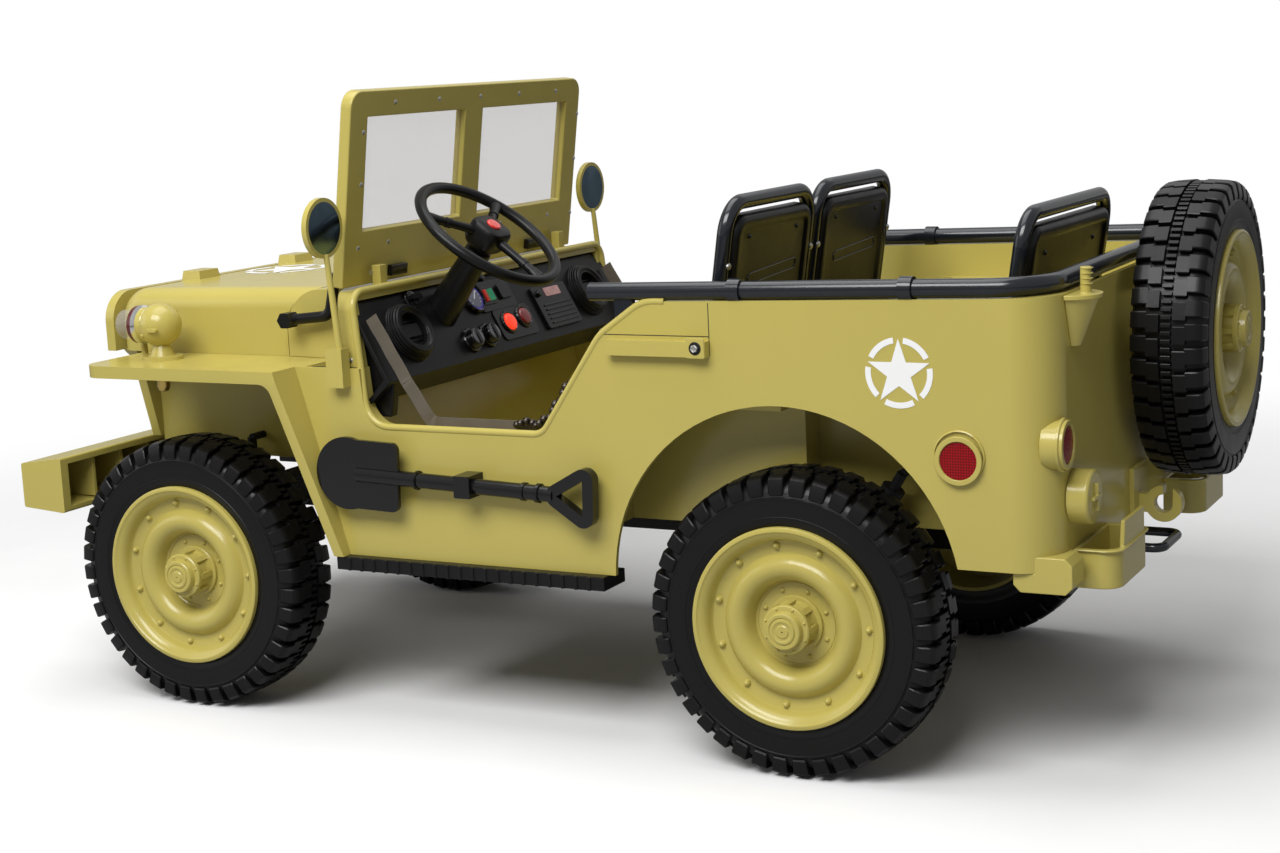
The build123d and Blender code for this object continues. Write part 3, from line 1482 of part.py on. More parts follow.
# Bent tube loop under the hook
with BuildPart() as tow_loop:
    with BuildLine():
        FilletPolyline(
            (tail_x + crossmember_width, loop_half, loop_z),
            (tail_x - loop_reach, loop_half, loop_z),
            (tail_x - loop_reach, -loop_half, loop_z),
            (tail_x + crossmember_width, -loop_half, loop_z),
            radius=2.5 * loop_radius,
        )
    with BuildSketch(Plane(origin=(tail_x + crossmember_width, loop_half, loop_z), z_dir=(-1, 0, 0))):
        Circle(loop_radius)
    sweep()
save(tow_loop, "tow_loop")

# Mirrors on stalks beside the windshield
with BuildPart() as mirrors:
    for sign in (1, -1):
        with BuildSketch(Plane.XY.offset(mirror_socket_bottom_z)):
            with Locations((mirror_x - mirror_socket / 2, sign * (body_half + mirror_socket / 2))):
                Rectangle(1.5 * mirror_socket, mirror_socket)
        extrude(amount=mirror_socket_top_z - mirror_socket_bottom_z)
        stalk_foot = Vector(mirror_x - mirror_stalk_lean, sign * mirror_y, mirror_socket_top_z - wall)
        stalk_way = Vector(mirror_x, sign * mirror_y, mirror_z) - stalk_foot
        with BuildSketch(Plane(origin=stalk_foot, z_dir=stalk_way)):
            Circle(mirror_stalk_radius)
        extrude(amount=stalk_way.length - mirror_glass_radius, taper=0.5)
        with BuildSketch(Plane.YZ.offset(mirror_x - mirror_thick / 2)):
            with Locations((sign * mirror_y, mirror_z)):
                Circle(mirror_radius)
        extrude(amount=mirror_thick)
        with BuildSketch(Plane.YZ.offset(mirror_x - mirror_thick / 2)):
            with Locations((sign * mirror_y, mirror_z)):
                Circle(mirror_glass_radius)
        extrude(amount=mirror_glass_thick, mode=Mode.SUBTRACT)
save(mirrors, "mirrors")

with BuildPart() as mirror_glasses:
    for sign in (1, -1):
        with BuildSketch(Plane.YZ.offset(mirror_x - mirror_thick / 2)):
            with Locations((sign * mirror_y, mirror_z)):
                Circle(mirror_glass_radius)
        extrude(amount=mirror_glass_thick)
save(mirror_glasses, "mirror_glasses")

# Windshield frame with two panes, leaning to the rear
tilt = radians(windshield_lean)
shield_plane = Plane(
    origin=(windshield_foot_x, 0, windshield_foot_z), x_dir=(0, 1, 0), z_dir=(cos(tilt), 0, sin(tilt)),
)
pane_width = pane_outer_y - pane_inner_y
pane_height = pane_top - pane_bottom
pane_y = (pane_outer_y + pane_inner_y) / 2
pane_z = (pane_top + pane_bottom) / 2
with BuildPart() as windshield_frame:
    with BuildSketch(shield_plane) as shield_outline:
        with Locations((0, windshield_height / 2)):
            Rectangle(2 * windshield_half, windshield_height)
        fillet(shield_outline.vertices().sort_by(Axis.Z)[-2:], radius=windshield_corner_radius)
        with Locations((pane_y, pane_z), (-pane_y, pane_z)):
            Rectangle(pane_width, pane_height, mode=Mode.SUBTRACT)
    extrude(amount=windshield_thick)
save(windshield_frame, "windshield_frame")

with BuildPart() as windshield_glass:
    with BuildSketch(shield_plane.offset((windshield_thick - glass_thick) / 2)):
        with Locations((pane_y, pane_z), (-pane_y, pane_z)):
            Rectangle(pane_width, pane_height)
    extrude(amount=glass_thick)
save(windshield_glass, "windshield_glass")

# Arms from the hex knobs up to the frame's lower corners
with BuildPart() as windshield_arms:
    arm_head = shield_plane.from_local_coords((0, 2 * arm_radius, windshield_thick + arm_radius))
    for sign in (1, -1):
        with BuildSketch(side_plane(sign * knob_inner_y)):
            with Locations((pivot_x, pivot_z)):
                RegularPolygon(knob_flats / 2, 6, major_radius=False)
        extrude(amount=-sign * (knob_outer_y - knob_inner_y))
        with BuildLine():
            FilletPolyline(
                (pivot_x, sign * arm_y, pivot_z),
                (arm_bend_x, sign * arm_y, arm_bend_z),
                (arm_head.X, sign * arm_y, arm_head.Z),
                radius=arm_bend_radius,
            )
        with BuildSketch(Plane(
            origin=(pivot_x, sign * arm_y, pivot_z),
            z_dir=(arm_bend_x - pivot_x, 0, arm_bend_z - pivot_z),
        )):
            Circle(arm_radius)
        sweep()
        with BuildSketch(side_plane(sign * (knob_inner_y - arm_radius))):
            with Locations((pivot_x, pivot_z)):
                Circle(pivot_radius + pivot_clearance)
        bore_depth = knob_outer_y - knob_inner_y + arm_radius - cowl_wall / 2 + pivot_clearance
        extrude(amount=-sign * bore_depth, mode=Mode.SUBTRACT)
save(windshield_arms, "windshield_arms")

# Catches low on the frame, over the cowl
with BuildPart() as windshield_catches:
    for sign in (1, -1):
        with BuildSketch(shield_plane):
            with Locations((sign * catch_y, catch_height)):
                Rectangle(catch_width, catch_height)
        extrude(amount=-catch_thick)
save(windshield_catches, "windshield_catches")

# Webbing strap inside each door lip: hangs from the front edge, then lies along the sill
strap_y = inner_half - door_lip - strap_thick / 2 - strap_clearance
strap_rear_turn = atan2(door_rear_mid_z - door_sill_z, door_rear_x - door_rear_mid_x)
strap_rear_shift = strap_lift / sin(strap_rear_turn)
strap_route = (
    (door_front_x, dash_top_z - strap_width - strap_lift),
    (dash_knee_x - strap_width, dash_knee_z),
    (dash_knee_x - 3 * strap_width, door_sill_z + strap_lift),
    (door_rear_x, door_sill_z + strap_lift),
    (door_rear_mid_x + strap_rear_shift, door_rear_mid_z),
)
with BuildPart() as door_straps:
    for sign in (1, -1):
        with BuildSketch(side_plane(sign * strap_y)):
            with BuildLine():
                FilletPolyline(*strap_route, radius=strap_width)
                offset(amount=strap_width / 2, side=Side.BOTH)
            make_face()
        extrude(amount=strap_thick / 2, both=True)
save(door_straps, "door_straps")
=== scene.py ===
from math import atan2, cos, pi, radians, sin, tan

import bmesh
import bpy
from mathutils import Matrix, Vector


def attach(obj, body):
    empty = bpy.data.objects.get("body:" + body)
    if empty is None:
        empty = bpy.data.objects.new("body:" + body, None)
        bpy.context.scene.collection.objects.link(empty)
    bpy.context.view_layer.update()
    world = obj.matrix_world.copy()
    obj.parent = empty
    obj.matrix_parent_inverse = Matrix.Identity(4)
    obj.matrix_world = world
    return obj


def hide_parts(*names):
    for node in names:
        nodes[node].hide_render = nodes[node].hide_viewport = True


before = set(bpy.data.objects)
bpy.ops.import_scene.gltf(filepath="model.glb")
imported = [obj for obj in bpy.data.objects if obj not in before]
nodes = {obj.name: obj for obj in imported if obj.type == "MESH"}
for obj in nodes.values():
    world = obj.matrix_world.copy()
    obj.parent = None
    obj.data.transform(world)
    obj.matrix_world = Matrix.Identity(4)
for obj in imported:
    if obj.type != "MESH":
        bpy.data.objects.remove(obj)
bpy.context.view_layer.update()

# Places shared by several pieces, in metres
WHEEL_RADIUS = 0.177
FRONT_X = 0.507
REAR_X = -0.350
WHEEL_Y = 0.305
SPARE = (-0.717, -0.071, 0.469)
BODY_HALF = 0.325
SILL_TOP = 0.380
SIDES = {"left": 1, "right": -1}
STUD = Vector((-0.671, 0.252, 0.549))
LEFT = Vector((0, 1, 0))


# Materials

def tree_of(name):
    material = bpy.data.materials.new(name)
    material.use_nodes = True
    shader = material.node_tree.nodes["Principled BSDF"]
    return material, material.node_tree, shader


def node(tree, kind, **settings):
    made = tree.nodes.new(kind)
    for key, value in settings.items():
        if key in made.inputs:
            made.inputs[key].default_value = value
        else:
            setattr(made, key, value)
    return made


def object_place(tree):
    return node(tree, "ShaderNodeTexCoord").outputs["Object"]


def object_noise(tree, scale, detail=3.0):
    noise = node(tree, "ShaderNodeTexNoise", Scale=scale, Detail=detail)
    tree.links.new(object_place(tree), noise.inputs["Vector"])
    return noise.outputs["Fac"]


def ramp(tree, source, low, high, target, start=0.35, end=0.65):
    """Spreads a value between two colours and feeds them to a socket."""
    made = node(tree, "ShaderNodeValToRGB")
    for k, (place, colour) in enumerate(((start, low), (end, high))):
        made.color_ramp.elements[k].position = place
        made.color_ramp.elements[k].color = colour
    tree.links.new(source, made.inputs["Fac"])
    tree.links.new(made.outputs["Color"], target)
    return made.outputs["Color"]


def bump(tree, source, strength, distance, shader, after=None):
    made = node(tree, "ShaderNodeBump", Strength=strength, Distance=distance)
    tree.links.new(source, made.inputs["Height"])
    if after is not None:
        tree.links.new(after.outputs["Normal"], made.inputs["Normal"])
    tree.links.new(made.outputs["Normal"], shader.inputs["Normal"])
    return made


def grey(value):
    return (value, value, value, 1.0)


def shaded(colour, share=1.0):
    return tuple(min(1.0, c * share) for c in colour) + (1.0,)


def put(shader, **values):
    """Sets a shader's sockets by name, with _ for a space."""
    for key, value in values.items():
        shader.inputs[key.replace("_", " ")].default_value = value


def moulded(name, colour, roughness, spread=0.06, grain=0.0, coat=0.0, specular=0.5):
    """Moulded plastic: slow colour drift, a fine waviness and, if wanted, a leather-like grain."""
    material, tree, shader = tree_of(name)
    low, high = shaded(colour, 1 - spread), shaded(colour, 1 + spread)
    ramp(tree, object_noise(tree, 3.5), low, high, shader.inputs["Base Color"])
    low, high = grey(roughness * 0.94), grey(roughness * 1.08)
    ramp(tree, object_noise(tree, 24.0, 2.0), low, high, shader.inputs["Roughness"])
    wavy = bump(tree, object_noise(tree, 14.0, 1.0), 0.03, 0.003, shader)
    if grain:
        bump(tree, object_noise(tree, 900.0, 2.0), grain, 0.0006, shader, wavy)
    put(shader, Specular_IOR_Level=specular, Coat_Weight=coat, Coat_Roughness=0.15)
    return material


def metal(name, colour, roughness):
    material, tree, shader = tree_of(name)
    drift = object_noise(tree, 40.0)
    ramp(tree, drift, shaded(colour, 0.9), shaded(colour), shader.inputs["Base Color"])
    ramp(tree, drift, grey(roughness), grey(roughness * 1.4), shader.inputs["Roughness"])
    put(shader, Metallic=1.0)
    return material


def pane(name, colour, alpha, roughness):
    material, tree, shader = tree_of(name)
    ramp(tree, object_noise(tree, 6.0), shaded(colour, 0.94), shaded(colour), shader.inputs["Base Color"])
    put(shader, Roughness=roughness, Alpha=alpha)
    return material


def prism_red(name):
    """Red reflector: small hexagonal prisms under a gloss face."""
    material, tree, shader = tree_of(name)
    cells = node(tree, "ShaderNodeTexVoronoi", Scale=330.0, Randomness=0.0)
    tree.links.new(object_place(tree), cells.inputs["Vector"])
    bright, dark = (0.34, 0.004, 0.008, 1.0), (0.07, 0.001, 0.002, 1.0)
    ramp(tree, cells.outputs["Distance"], bright, dark, shader.inputs["Base Color"], 0.15, 0.70)
    put(shader, Roughness=0.18, Specular_IOR_Level=0.25)
    bump(tree, cells.outputs["Distance"], 0.3, 0.001, shader)
    return material


def woven(name, colour):
    """Webbing: ribs across the strap with a fine yarn over them."""
    material, tree, shader = tree_of(name)
    waves = []
    for scale, distortion, direction in ((260.0, 1.2, "X"), (420.0, 0.8, "Z")):
        wave = node(tree, "ShaderNodeTexWave", Scale=scale, Distortion=distortion, bands_direction=direction)
        tree.links.new(object_place(tree), wave.inputs["Vector"])
        waves.append(wave.outputs["Fac"])
    ribs, yarn = waves
    ramp(tree, ribs, shaded(colour, 0.55), shaded(colour), shader.inputs["Base Color"], 0.2, 0.8)
    put(shader, Roughness=0.85, Sheen_Weight=0.3)
    bump(tree, yarn, 0.3, 0.0004, shader, bump(tree, ribs, 0.5, 0.0006, shader))
    return material


def glow(name, colour, strength):
    material, tree, shader = tree_of(name)
    shade = object_noise(tree, 90.0)
    tint = ramp(tree, shade, shaded(colour, 0.7), shaded(colour), shader.inputs["Base Color"])
    tree.links.new(tint, shader.inputs["Emission Color"])
    put(shader, Emission_Strength=strength, Roughness=0.25)
    return material


OLIVE = moulded("olive_plastic", (0.470, 0.395, 0.098), 0.22, 0.025, specular=0.42)
BLACK = moulded("black_plastic", (0.0050, 0.0050, 0.0053), 0.32, 0.2, grain=0.15, specular=0.22)
BLACK_GLOSS = moulded("black_plastic_gloss", (0.0040, 0.0040, 0.0044), 0.17, 0.2, specular=0.40)
RUBBER = moulded("tyre_rubber", (0.0042, 0.0042, 0.0044), 0.32, 0.2, grain=0.15, specular=0.24)
TUBE = moulded("black_tube_paint", (0.008, 0.010, 0.014), 0.18, 0.12, specular=0.5)
STEEL = moulded("dark_steel_paint", (0.009, 0.009, 0.0095), 0.5, 0.3, grain=0.1, specular=0.25)
CHROME = metal("chrome", (0.75, 0.75, 0.74), 0.12)
ZINC = metal("zinc_screw", (0.45, 0.45, 0.43), 0.35)
BRASS = metal("brass", (0.55, 0.40, 0.12), 0.25)
MIRROR = metal("mirror_film", (0.30, 0.44, 0.56), 0.08)
WINDOW = pane("clear_pane", (0.60, 0.55, 0.55), 0.26, 0.06)
LENS = pane("clear_lens", (0.52, 0.50, 0.47), 0.30, 0.04)
RED_LENS = prism_red("red_reflector")
WHITE = moulded("white_paint", (0.83, 0.83, 0.82), 0.45, 0.02)
SHADOW = moulded("seam_shadow", (0.03, 0.028, 0.012), 0.7, 0.1)
STRAP = woven("webbing", (0.115, 0.090, 0.058))
SPRING_RED = moulded("spring_red", (0.35, 0.02, 0.015), 0.35, 0.1)
DARK_RED = moulded("dark_red_ring", (0.10, 0.012, 0.010), 0.3, 0.1)
RED_GLOSS = moulded("red_button", (0.62, 0.03, 0.02), 0.25, 0.08, coat=0.4)
RED_DEEP = moulded("deep_red_button", (0.20, 0.010, 0.010), 0.25, 0.08, coat=0.4)
RED_LIT = glow("red_lit_button", (0.9, 0.045, 0.015), 1.1)
DIAL = moulded("dial_face", (0.16, 0.17, 0.24), 0.3, 0.35)
DIAL_RING = glow("dial_ring", (0.09, 0.07, 0.42), 0.25)
GREEN = glow("green_rocker", (0.02, 0.22, 0.10), 0.2)
DISPLAY = glow("radio_display", (0.40, 0.22, 0.21), 0.25)
CHAIN = metal("dark_chain", (0.07, 0.06, 0.05), 0.28)
KNOB_FACE = metal("knob_face", (0.20, 0.20, 0.21), 0.3)


# Mesh helpers

def as_mesh(name, made, outward=True):
    if outward:
        bmesh.ops.recalc_face_normals(made, faces=made.faces)
    mesh = bpy.data.meshes.new(name)
    made.to_mesh(mesh)
    made.free()
    return mesh


def finish_mesh(name, made, material, replaces=(), angle=35.0, smooth=True, body="car"):
    """Turns a bmesh into a piece that rides on a body."""
    return place_mesh(name, as_mesh(name, made), body, material, replaces, angle, smooth)


def place_mesh(name, mesh, body, material, replaces=(), angle=35.0, smooth=True, at=None):
    piece = bpy.data.objects.new(name, mesh)
    bpy.context.scene.collection.objects.link(piece)
    if at is not None:
        piece.matrix_world = at
    if smooth:
        for face in mesh.polygons:
            face.use_smooth = True
        mesh.set_sharp_from_angle(angle=radians(angle))
    if material is not None:
        mesh.materials.clear()
        mesh.materials.append(material)
    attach(piece, body)
    if replaces:
        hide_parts(*replaces)
    return piece


def round_edges(piece, width, segments=2, angle=32.0):
    """A bevel on every edge sharper than the angle."""
    rounded = piece.modifiers.new("round", "BEVEL")
    rounded.width = width
    rounded.segments = segments
    rounded.limit_method = "ANGLE"
    rounded.angle_limit = radians(angle)
    rounded.use_clamp_overlap = True
    smooth = piece.modifiers.new("even", "WEIGHTED_NORMAL")
    smooth.keep_sharp = False
    return piece


def ring_grid(made, rows, closed_rows=False):
    """Skins a list of rings, each a list of points of one length."""
    rings = [[made.verts.new(p) for p in row] for row in rows]
    pairs = list(zip(rings, rings[1:]))
    if closed_rows:
        pairs.append((rings[-1], rings[0]))
    for a, b in pairs:
        for i in range(len(a)):
            j = (i + 1) % len(a)
            made.faces.new((a[i], a[j], b[j], b[i]))
    return rings


def capped(made, rows):
    """Skins a list of rings and closes both ends."""
    rings = ring_grid(made, rows)
    made.faces.new(rings[0])
    made.faces.new(rings[-1])


def spin(count):
    """Cosine and sine of the turns that share out a circle."""
    return [(cos(2 * pi * i / count), sin(2 * pi * i / count)) for i in range(count)]


def lathe(made, outline, segments, axis="Y"):
    """Turns a closed outline of (along the axis, radius) about the Y or Z axis."""
    rows = []
    for c, s in spin(segments):
        points = [(along, radius * c, radius * s) for along, radius in outline]
        rows.append([Vector((s, a, c) if axis == "Y" else (c, s, a)) for a, c, s in points])
    ring_grid(made, rows, closed_rows=True)


def turned(made, outline, centre, out, segments=32, caps=True):
    """Turns an outline of (height, radius) about any axis through the centre."""
    out = Vector(out).normalized()
    side = out.orthogonal().normalized()
    up = out.cross(side)
    rows = [
        [Vector(centre) + out * high + (side * c + up * s) * radius for c, s in spin(segments)]
        for high, radius in outline
    ]
    (capped if caps else ring_grid)(made, rows)


def extruded(made, outline, plane, depth, centre=(0, 0, 0)):
    """Extrudes a flat outline. The plane's columns are across, up and out."""
    low, high = [], []
    for u, v in outline:
        for ring, lift in ((low, 0), (high, depth)):
            ring.append(made.verts.new(Vector(centre) + plane @ Vector((u, v, lift))))
    made.faces.new(low)
    made.faces.new(reversed(high))
    for i in range(len(low)):
        made.faces.new((low[i], low[i - 1], high[i - 1], high[i]))


def columns(across, up, out):
    return Matrix((across, up, out)).transposed()


def axes(across, up):
    across, up = Vector(across).normalized(), Vector(up).normalized()
    return columns(across, up, across.cross(up))


def rounded_rect(width, height, radius, steps=5, centre=(0.0, 0.0)):
    points = []
    for cx, cy, start in ((1, 1, 0), (-1, 1, 90), (-1, -1, 180), (1, -1, 270)):
        for k in range(steps + 1):
            turn = radians(start + 90 * k / steps)
            points.append((
                centre[0] + cx * (width / 2 - radius) + radius * cos(turn),
                centre[1] + cy * (height / 2 - radius) + radius * sin(turn),
            ))
    return points


def tube(name, points, radius, material, cyclic=False, resolution=8):
    """A round bar along a route of points, as a mesh."""
    curve = bpy.data.curves.new(name, "CURVE")
    curve.dimensions = "3D"
    spline = curve.splines.new("POLY")
    spline.points.add(len(points) - 1)
    for target, point in zip(spline.points, points):
        target.co = (*point, 1.0)
    spline.use_cyclic_u = cyclic
    curve.bevel_depth = radius
    curve.bevel_resolution = resolution
    curve.use_fill_caps = True
    maker = bpy.data.objects.new(name + "_path", curve)
    mesh = bpy.data.meshes.new_from_object(maker)
    bpy.data.objects.remove(maker)
    return place_mesh(name, mesh, "car", material, angle=50.0)


def filleted(points, radii, steps=6):
    """A route with arcs at its inner corners."""
    if not hasattr(radii, "__len__"):
        radii = [radii] * (len(points) - 2)
    route = [Vector(points[0])]
    for before, corner, after, radius in zip(points, points[1:], points[2:], radii):
        corner = Vector(corner)
        a, b = (Vector(before) - corner).normalized(), (Vector(after) - corner).normalized()
        half = a.angle(b) / 2
        back = radius / tan(half)
        start, end = corner + a * back, corner + b * back
        middle = corner + (a + b).normalized() * (radius / sin(half))
        first, last = start - middle, end - middle
        sweep = first.angle(last)
        for k in range(steps + 1):
            t = k / steps
            arm = (first * sin((1 - t) * sweep) + last * sin(t * sweep)) / sin(sweep)
            route.append(middle + arm)
    route.append(Vector(points[-1]))
    return route


def dome(made, centre, out, radius, height, segments=12, rings=4):
    """A small domed head standing on a surface."""
    outline = []
    for k in range(rings + 1):
        spread = cos(pi / 2 * k / rings) * 0.9 + 0.1 * (1 - k / rings)
        outline.append((height * sin(pi / 2 * k / rings), radius * max(spread, 0.02)))
    turned(made, outline, centre, out, segments)


# Camera, light and floor

CAMERA_PLACE = Vector((-1.3024, 2.4339, 0.8182))
CAMERA_YAW, CAMERA_PITCH, CAMERA_ROLL = radians(-63.55), radians(-9.51), radians(-2.41)
FOCAL_PIXELS, PHOTO_WIDTH = 2111.09, 1280.0
CENTRE_OFF_X, CENTRE_OFF_Y = 69.62, -20.72


def build_camera():
    camera = bpy.data.cameras.new("camera")
    camera.sensor_width = 36.0
    camera.lens = FOCAL_PIXELS / PHOTO_WIDTH * camera.sensor_width
    camera.shift_x = -CENTRE_OFF_X / PHOTO_WIDTH
    camera.shift_y = CENTRE_OFF_Y / PHOTO_WIDTH
    camera.clip_start = 0.05
    camera.clip_end = 60.0
    eye = bpy.data.objects.new("camera", camera)
    bpy.context.scene.collection.objects.link(eye)
    ahead = Vector((
        cos(CAMERA_PITCH) * cos(CAMERA_YAW), cos(CAMERA_PITCH) * sin(CAMERA_YAW), sin(CAMERA_PITCH),
    ))
    right = ahead.cross(Vector((0, 0, 1))).normalized()
    up = right.cross(ahead)
    rolled_right = right * cos(CAMERA_ROLL) + up * sin(CAMERA_ROLL)
    rolled_up = up * cos(CAMERA_ROLL) - right * sin(CAMERA_ROLL)
    turn = columns(rolled_right, rolled_up, -ahead).to_4x4()
    eye.matrix_world = Matrix.Translation(CAMERA_PLACE) @ turn
    bpy.context.scene.camera = eye


def area_light(name, place, aim, size, power):
    light = bpy.data.lights.new(name, "AREA")
    light.shape = "RECTANGLE"
    light.size, light.size_y = size
    light.energy = power
    lamp = bpy.data.objects.new(name, light)
    bpy.context.scene.collection.objects.link(lamp)
    lamp.location = place
    lamp.rotation_mode = "QUATERNION"
    lamp.rotation_quaternion = (Vector(aim) - Vector(place)).to_track_quat("-Z", "Y")


def maths(tree, operation, first, second):
    made = node(tree, "ShaderNodeMath", operation=operation)
    for socket, source in zip(made.inputs, (first, second)):
        if isinstance(source, float):
            socket.default_value = source
        else:
            tree.links.new(source, socket)
    return made.outputs["Value"]


def mixed(tree, share, first, second):
    made = node(tree, "ShaderNodeMixShader")
    for socket, source in zip(made.inputs, (share, first, second)):
        tree.links.new(source, socket)
    return made.outputs["Shader"]


def build_floor():
    made = bmesh.new()
    bmesh.ops.create_grid(made, x_segments=1, y_segments=1, size=14.0)
    floor = bpy.data.objects.new("floor", as_mesh("floor", made, outward=False))
    bpy.context.scene.collection.objects.link(floor)
    floor.location = (0, 0, -0.0005)
    material, tree, shader = tree_of("floor")
    ramp(tree, object_noise(tree, 4.0), grey(0.87), grey(0.90), shader.inputs["Base Color"])
    put(shader, Roughness=0.8, Specular_IOR_Level=0.1)
    # Far from the object the floor turns plain white for the camera
    far = node(tree, "ShaderNodeVectorMath", operation="LENGTH")
    tree.links.new(object_place(tree), far.inputs[0])
    reach = node(tree, "ShaderNodeMapRange", interpolation_type="SMOOTHSTEP")
    put(reach, From_Min=0.9, From_Max=2.6, To_Min=0.0, To_Max=1.0)
    tree.links.new(far.outputs["Value"], reach.inputs["Value"])
    path = node(tree, "ShaderNodeLightPath").outputs
    seen = maths(tree, "MAXIMUM", path["Is Camera Ray"], path["Is Transmission Ray"])
    share = maths(tree, "MULTIPLY", seen, reach.outputs["Result"])
    plain = node(tree, "ShaderNodeEmission", Color=grey(1.0), Strength=1.0)
    # The floor throws back less light than it shows
    bounced = maths(tree, "MAXIMUM", path["Is Diffuse Ray"], path["Is Glossy Ray"])
    dull = node(tree, "ShaderNodeBsdfDiffuse", Color=grey(0.40))
    thrown = mixed(tree, bounced, shader.outputs["BSDF"], dull.outputs["BSDF"])
    blend = mixed(tree, share, thrown, plain.outputs["Emission"])
    tree.links.new(blend, tree.nodes["Material Output"].inputs["Surface"])
    floor.data.materials.append(material)


def build_sky():
    """White to the camera, dimmer in reflections and as light."""
    world = bpy.data.worlds.new("world")
    bpy.context.scene.world = world
    world.use_nodes = True
    sky = world.node_tree
    light = sky.nodes["Background"]
    put(light, Color=grey(1.0), Strength=0.18)
    white = node(sky, "ShaderNodeBackground", Color=grey(1.0), Strength=1.0)
    path = node(sky, "ShaderNodeLightPath").outputs
    dimmed = maths(sky, "MULTIPLY", path["Is Glossy Ray"], 0.36)
    looked = maths(sky, "MAXIMUM", path["Is Camera Ray"], dimmed)
    through = maths(sky, "MAXIMUM", looked, path["Is Transmission Ray"])
    mix = mixed(sky, through, light.outputs["Background"], white.outputs["Background"])
    sky.links.new(mix, sky.nodes["World Output"].inputs["Surface"])


def build_stage():
    build_floor()
    build_sky()
    area_light("key", (-0.1, 2.8, 3.1), (-0.1, 0, 0.35), (2.8, 1.6), 152.0)
    area_light("fill", (3.0, 1.6, 1.4), (0.2, 0, 0.3), (2.0, 1.6), 12.0)
    area_light("back", (-0.2, -2.8, 2.8), (0, 0, 0.4), (2.4, 1.4), 5.0)
    area_light("top", (0.4, 0, 3.2), (0.2, 0, 0), (2.6, 2.2), 52.0)
    bpy.context.scene.view_settings.view_transform = "Standard"


# Materials and softened edges on the solids that stay as they are

def dress(name, material, width):
    piece = nodes[name]
    piece.data.materials.clear()
    piece.data.materials.append(material)
    if width:
        weld = piece.modifiers.new("join", "WELD")
        weld.merge_threshold = 0.00002
        flat = piece.modifiers.new("flatten", "DECIMATE")
        flat.decimate_type = "DISSOLVE"
        flat.angle_limit = radians(0.8)
        round_edges(piece, width)


def dress_solids():
    table = (
        # material, edge radius, nodes
        (OLIVE, 0.0035, "bumperettes"),
        (OLIVE, 0.0030, "cowl fender_left fender_right"),
        (OLIVE, 0.0025, "hood"),
        (OLIVE, 0.0024, "tub"),
        (OLIVE, 0.0022, "grille"),
        (OLIVE, 0.0020, "front_bumper windshield_frame"),
        (OLIVE, 0.0016, "can_racks"),
        (OLIVE, 0.0015, "spare_carrier tow_hook tail_cap"),
        (OLIVE, 0.0012, "aerial_bracket mirrors"),
        (OLIVE, 0.0010, "reflector_housings fender_lamp"),
        (STEEL, 0.0015, "chassis rear_axle"),
        (STEEL, 0.0, "front_axle knuckle_left knuckle_right dampers"),
        (TUBE, 0.0008, "side_rail"),
        (TUBE, 0.0, "seat_frames tow_loop"),
        (BLACK, 0.0022, "dash"),
        (BLACK, 0.0012, "steering_column running_boards"),
        (BLACK, 0.0010, "windshield_arms"),
        (BLACK_GLOSS, 0.0028, "shovel"),
        (BLACK_GLOSS, 0.0012, "windshield_catches"),
        (LENS, 0.0015, "fender_lamp_glass"),
        (LENS, 0.0010, "lamp_glasses"),
        (RED_LENS, 0.0008, "reflector_lenses"),
        (MIRROR, 0.0, "mirror_glasses"),
        (WINDOW, 0.0, "windshield_glass"),
    )
    for material, width, names in table:
        for name in names.split():
            dress(name, material, width)


# Wheels

LUG_COUNT = 40
LUG_MEAN_RADIUS = 0.17
CARCASS = (
    # along the axle, radius
    (-0.0405, 0.1090), (-0.0405, 0.1165), (-0.0425, 0.1200), (-0.0438, 0.1270), (-0.0442, 0.1272),
    (-0.0442, 0.1282), (-0.0438, 0.1286), (-0.0440, 0.1400), (-0.0436, 0.1480), (-0.0440, 0.1484),
    (-0.0440, 0.1500), (-0.0428, 0.1508), (-0.0408, 0.1560), (-0.0380, 0.1618), (-0.0330, 0.1655),
    (-0.0200, 0.1680), (0.0, 0.1690),
)
SHOULDER_LUG = (
    (0.0215, 0.1640), (0.0215, 0.1757), (0.0300, 0.1751), (0.0372, 0.1738), (0.0412, 0.1708), (0.0422, 0.1672),
    (0.0437, 0.1600), (0.0441, 0.1548), (0.0430, 0.1528), (0.0370, 0.1540),
)
MIDDLE_LUG = ((0.0078, 0.1655), (0.0078, 0.1766), (0.0225, 0.1757), (0.0225, 0.1650))
CENTRE_RIB = ((-0.0056, 0.1660), (-0.0056, 0.1752), (0.0056, 0.1752), (0.0056, 0.1660))


def lug(made, section, start, end, edge):
    """A tread block: a section in the wheel's plane swept over an arc, with drawn-in ends."""
    middle = Vector([sum(values) / len(section) for values in zip(*section)])
    ease = edge / LUG_MEAN_RADIUS
    rows = []
    for turn, shrink in ((start, 1), (start + ease, 0), (end - ease, 0), (end, 1)):
        row = []
        for point in section:
            pull = (middle - Vector(point)).normalized() * edge * shrink
            a, r = Vector(point) + pull
            row.append(Vector((r * sin(turn), a, r * cos(turn))))
        rows.append(row)
    capped(made, rows)


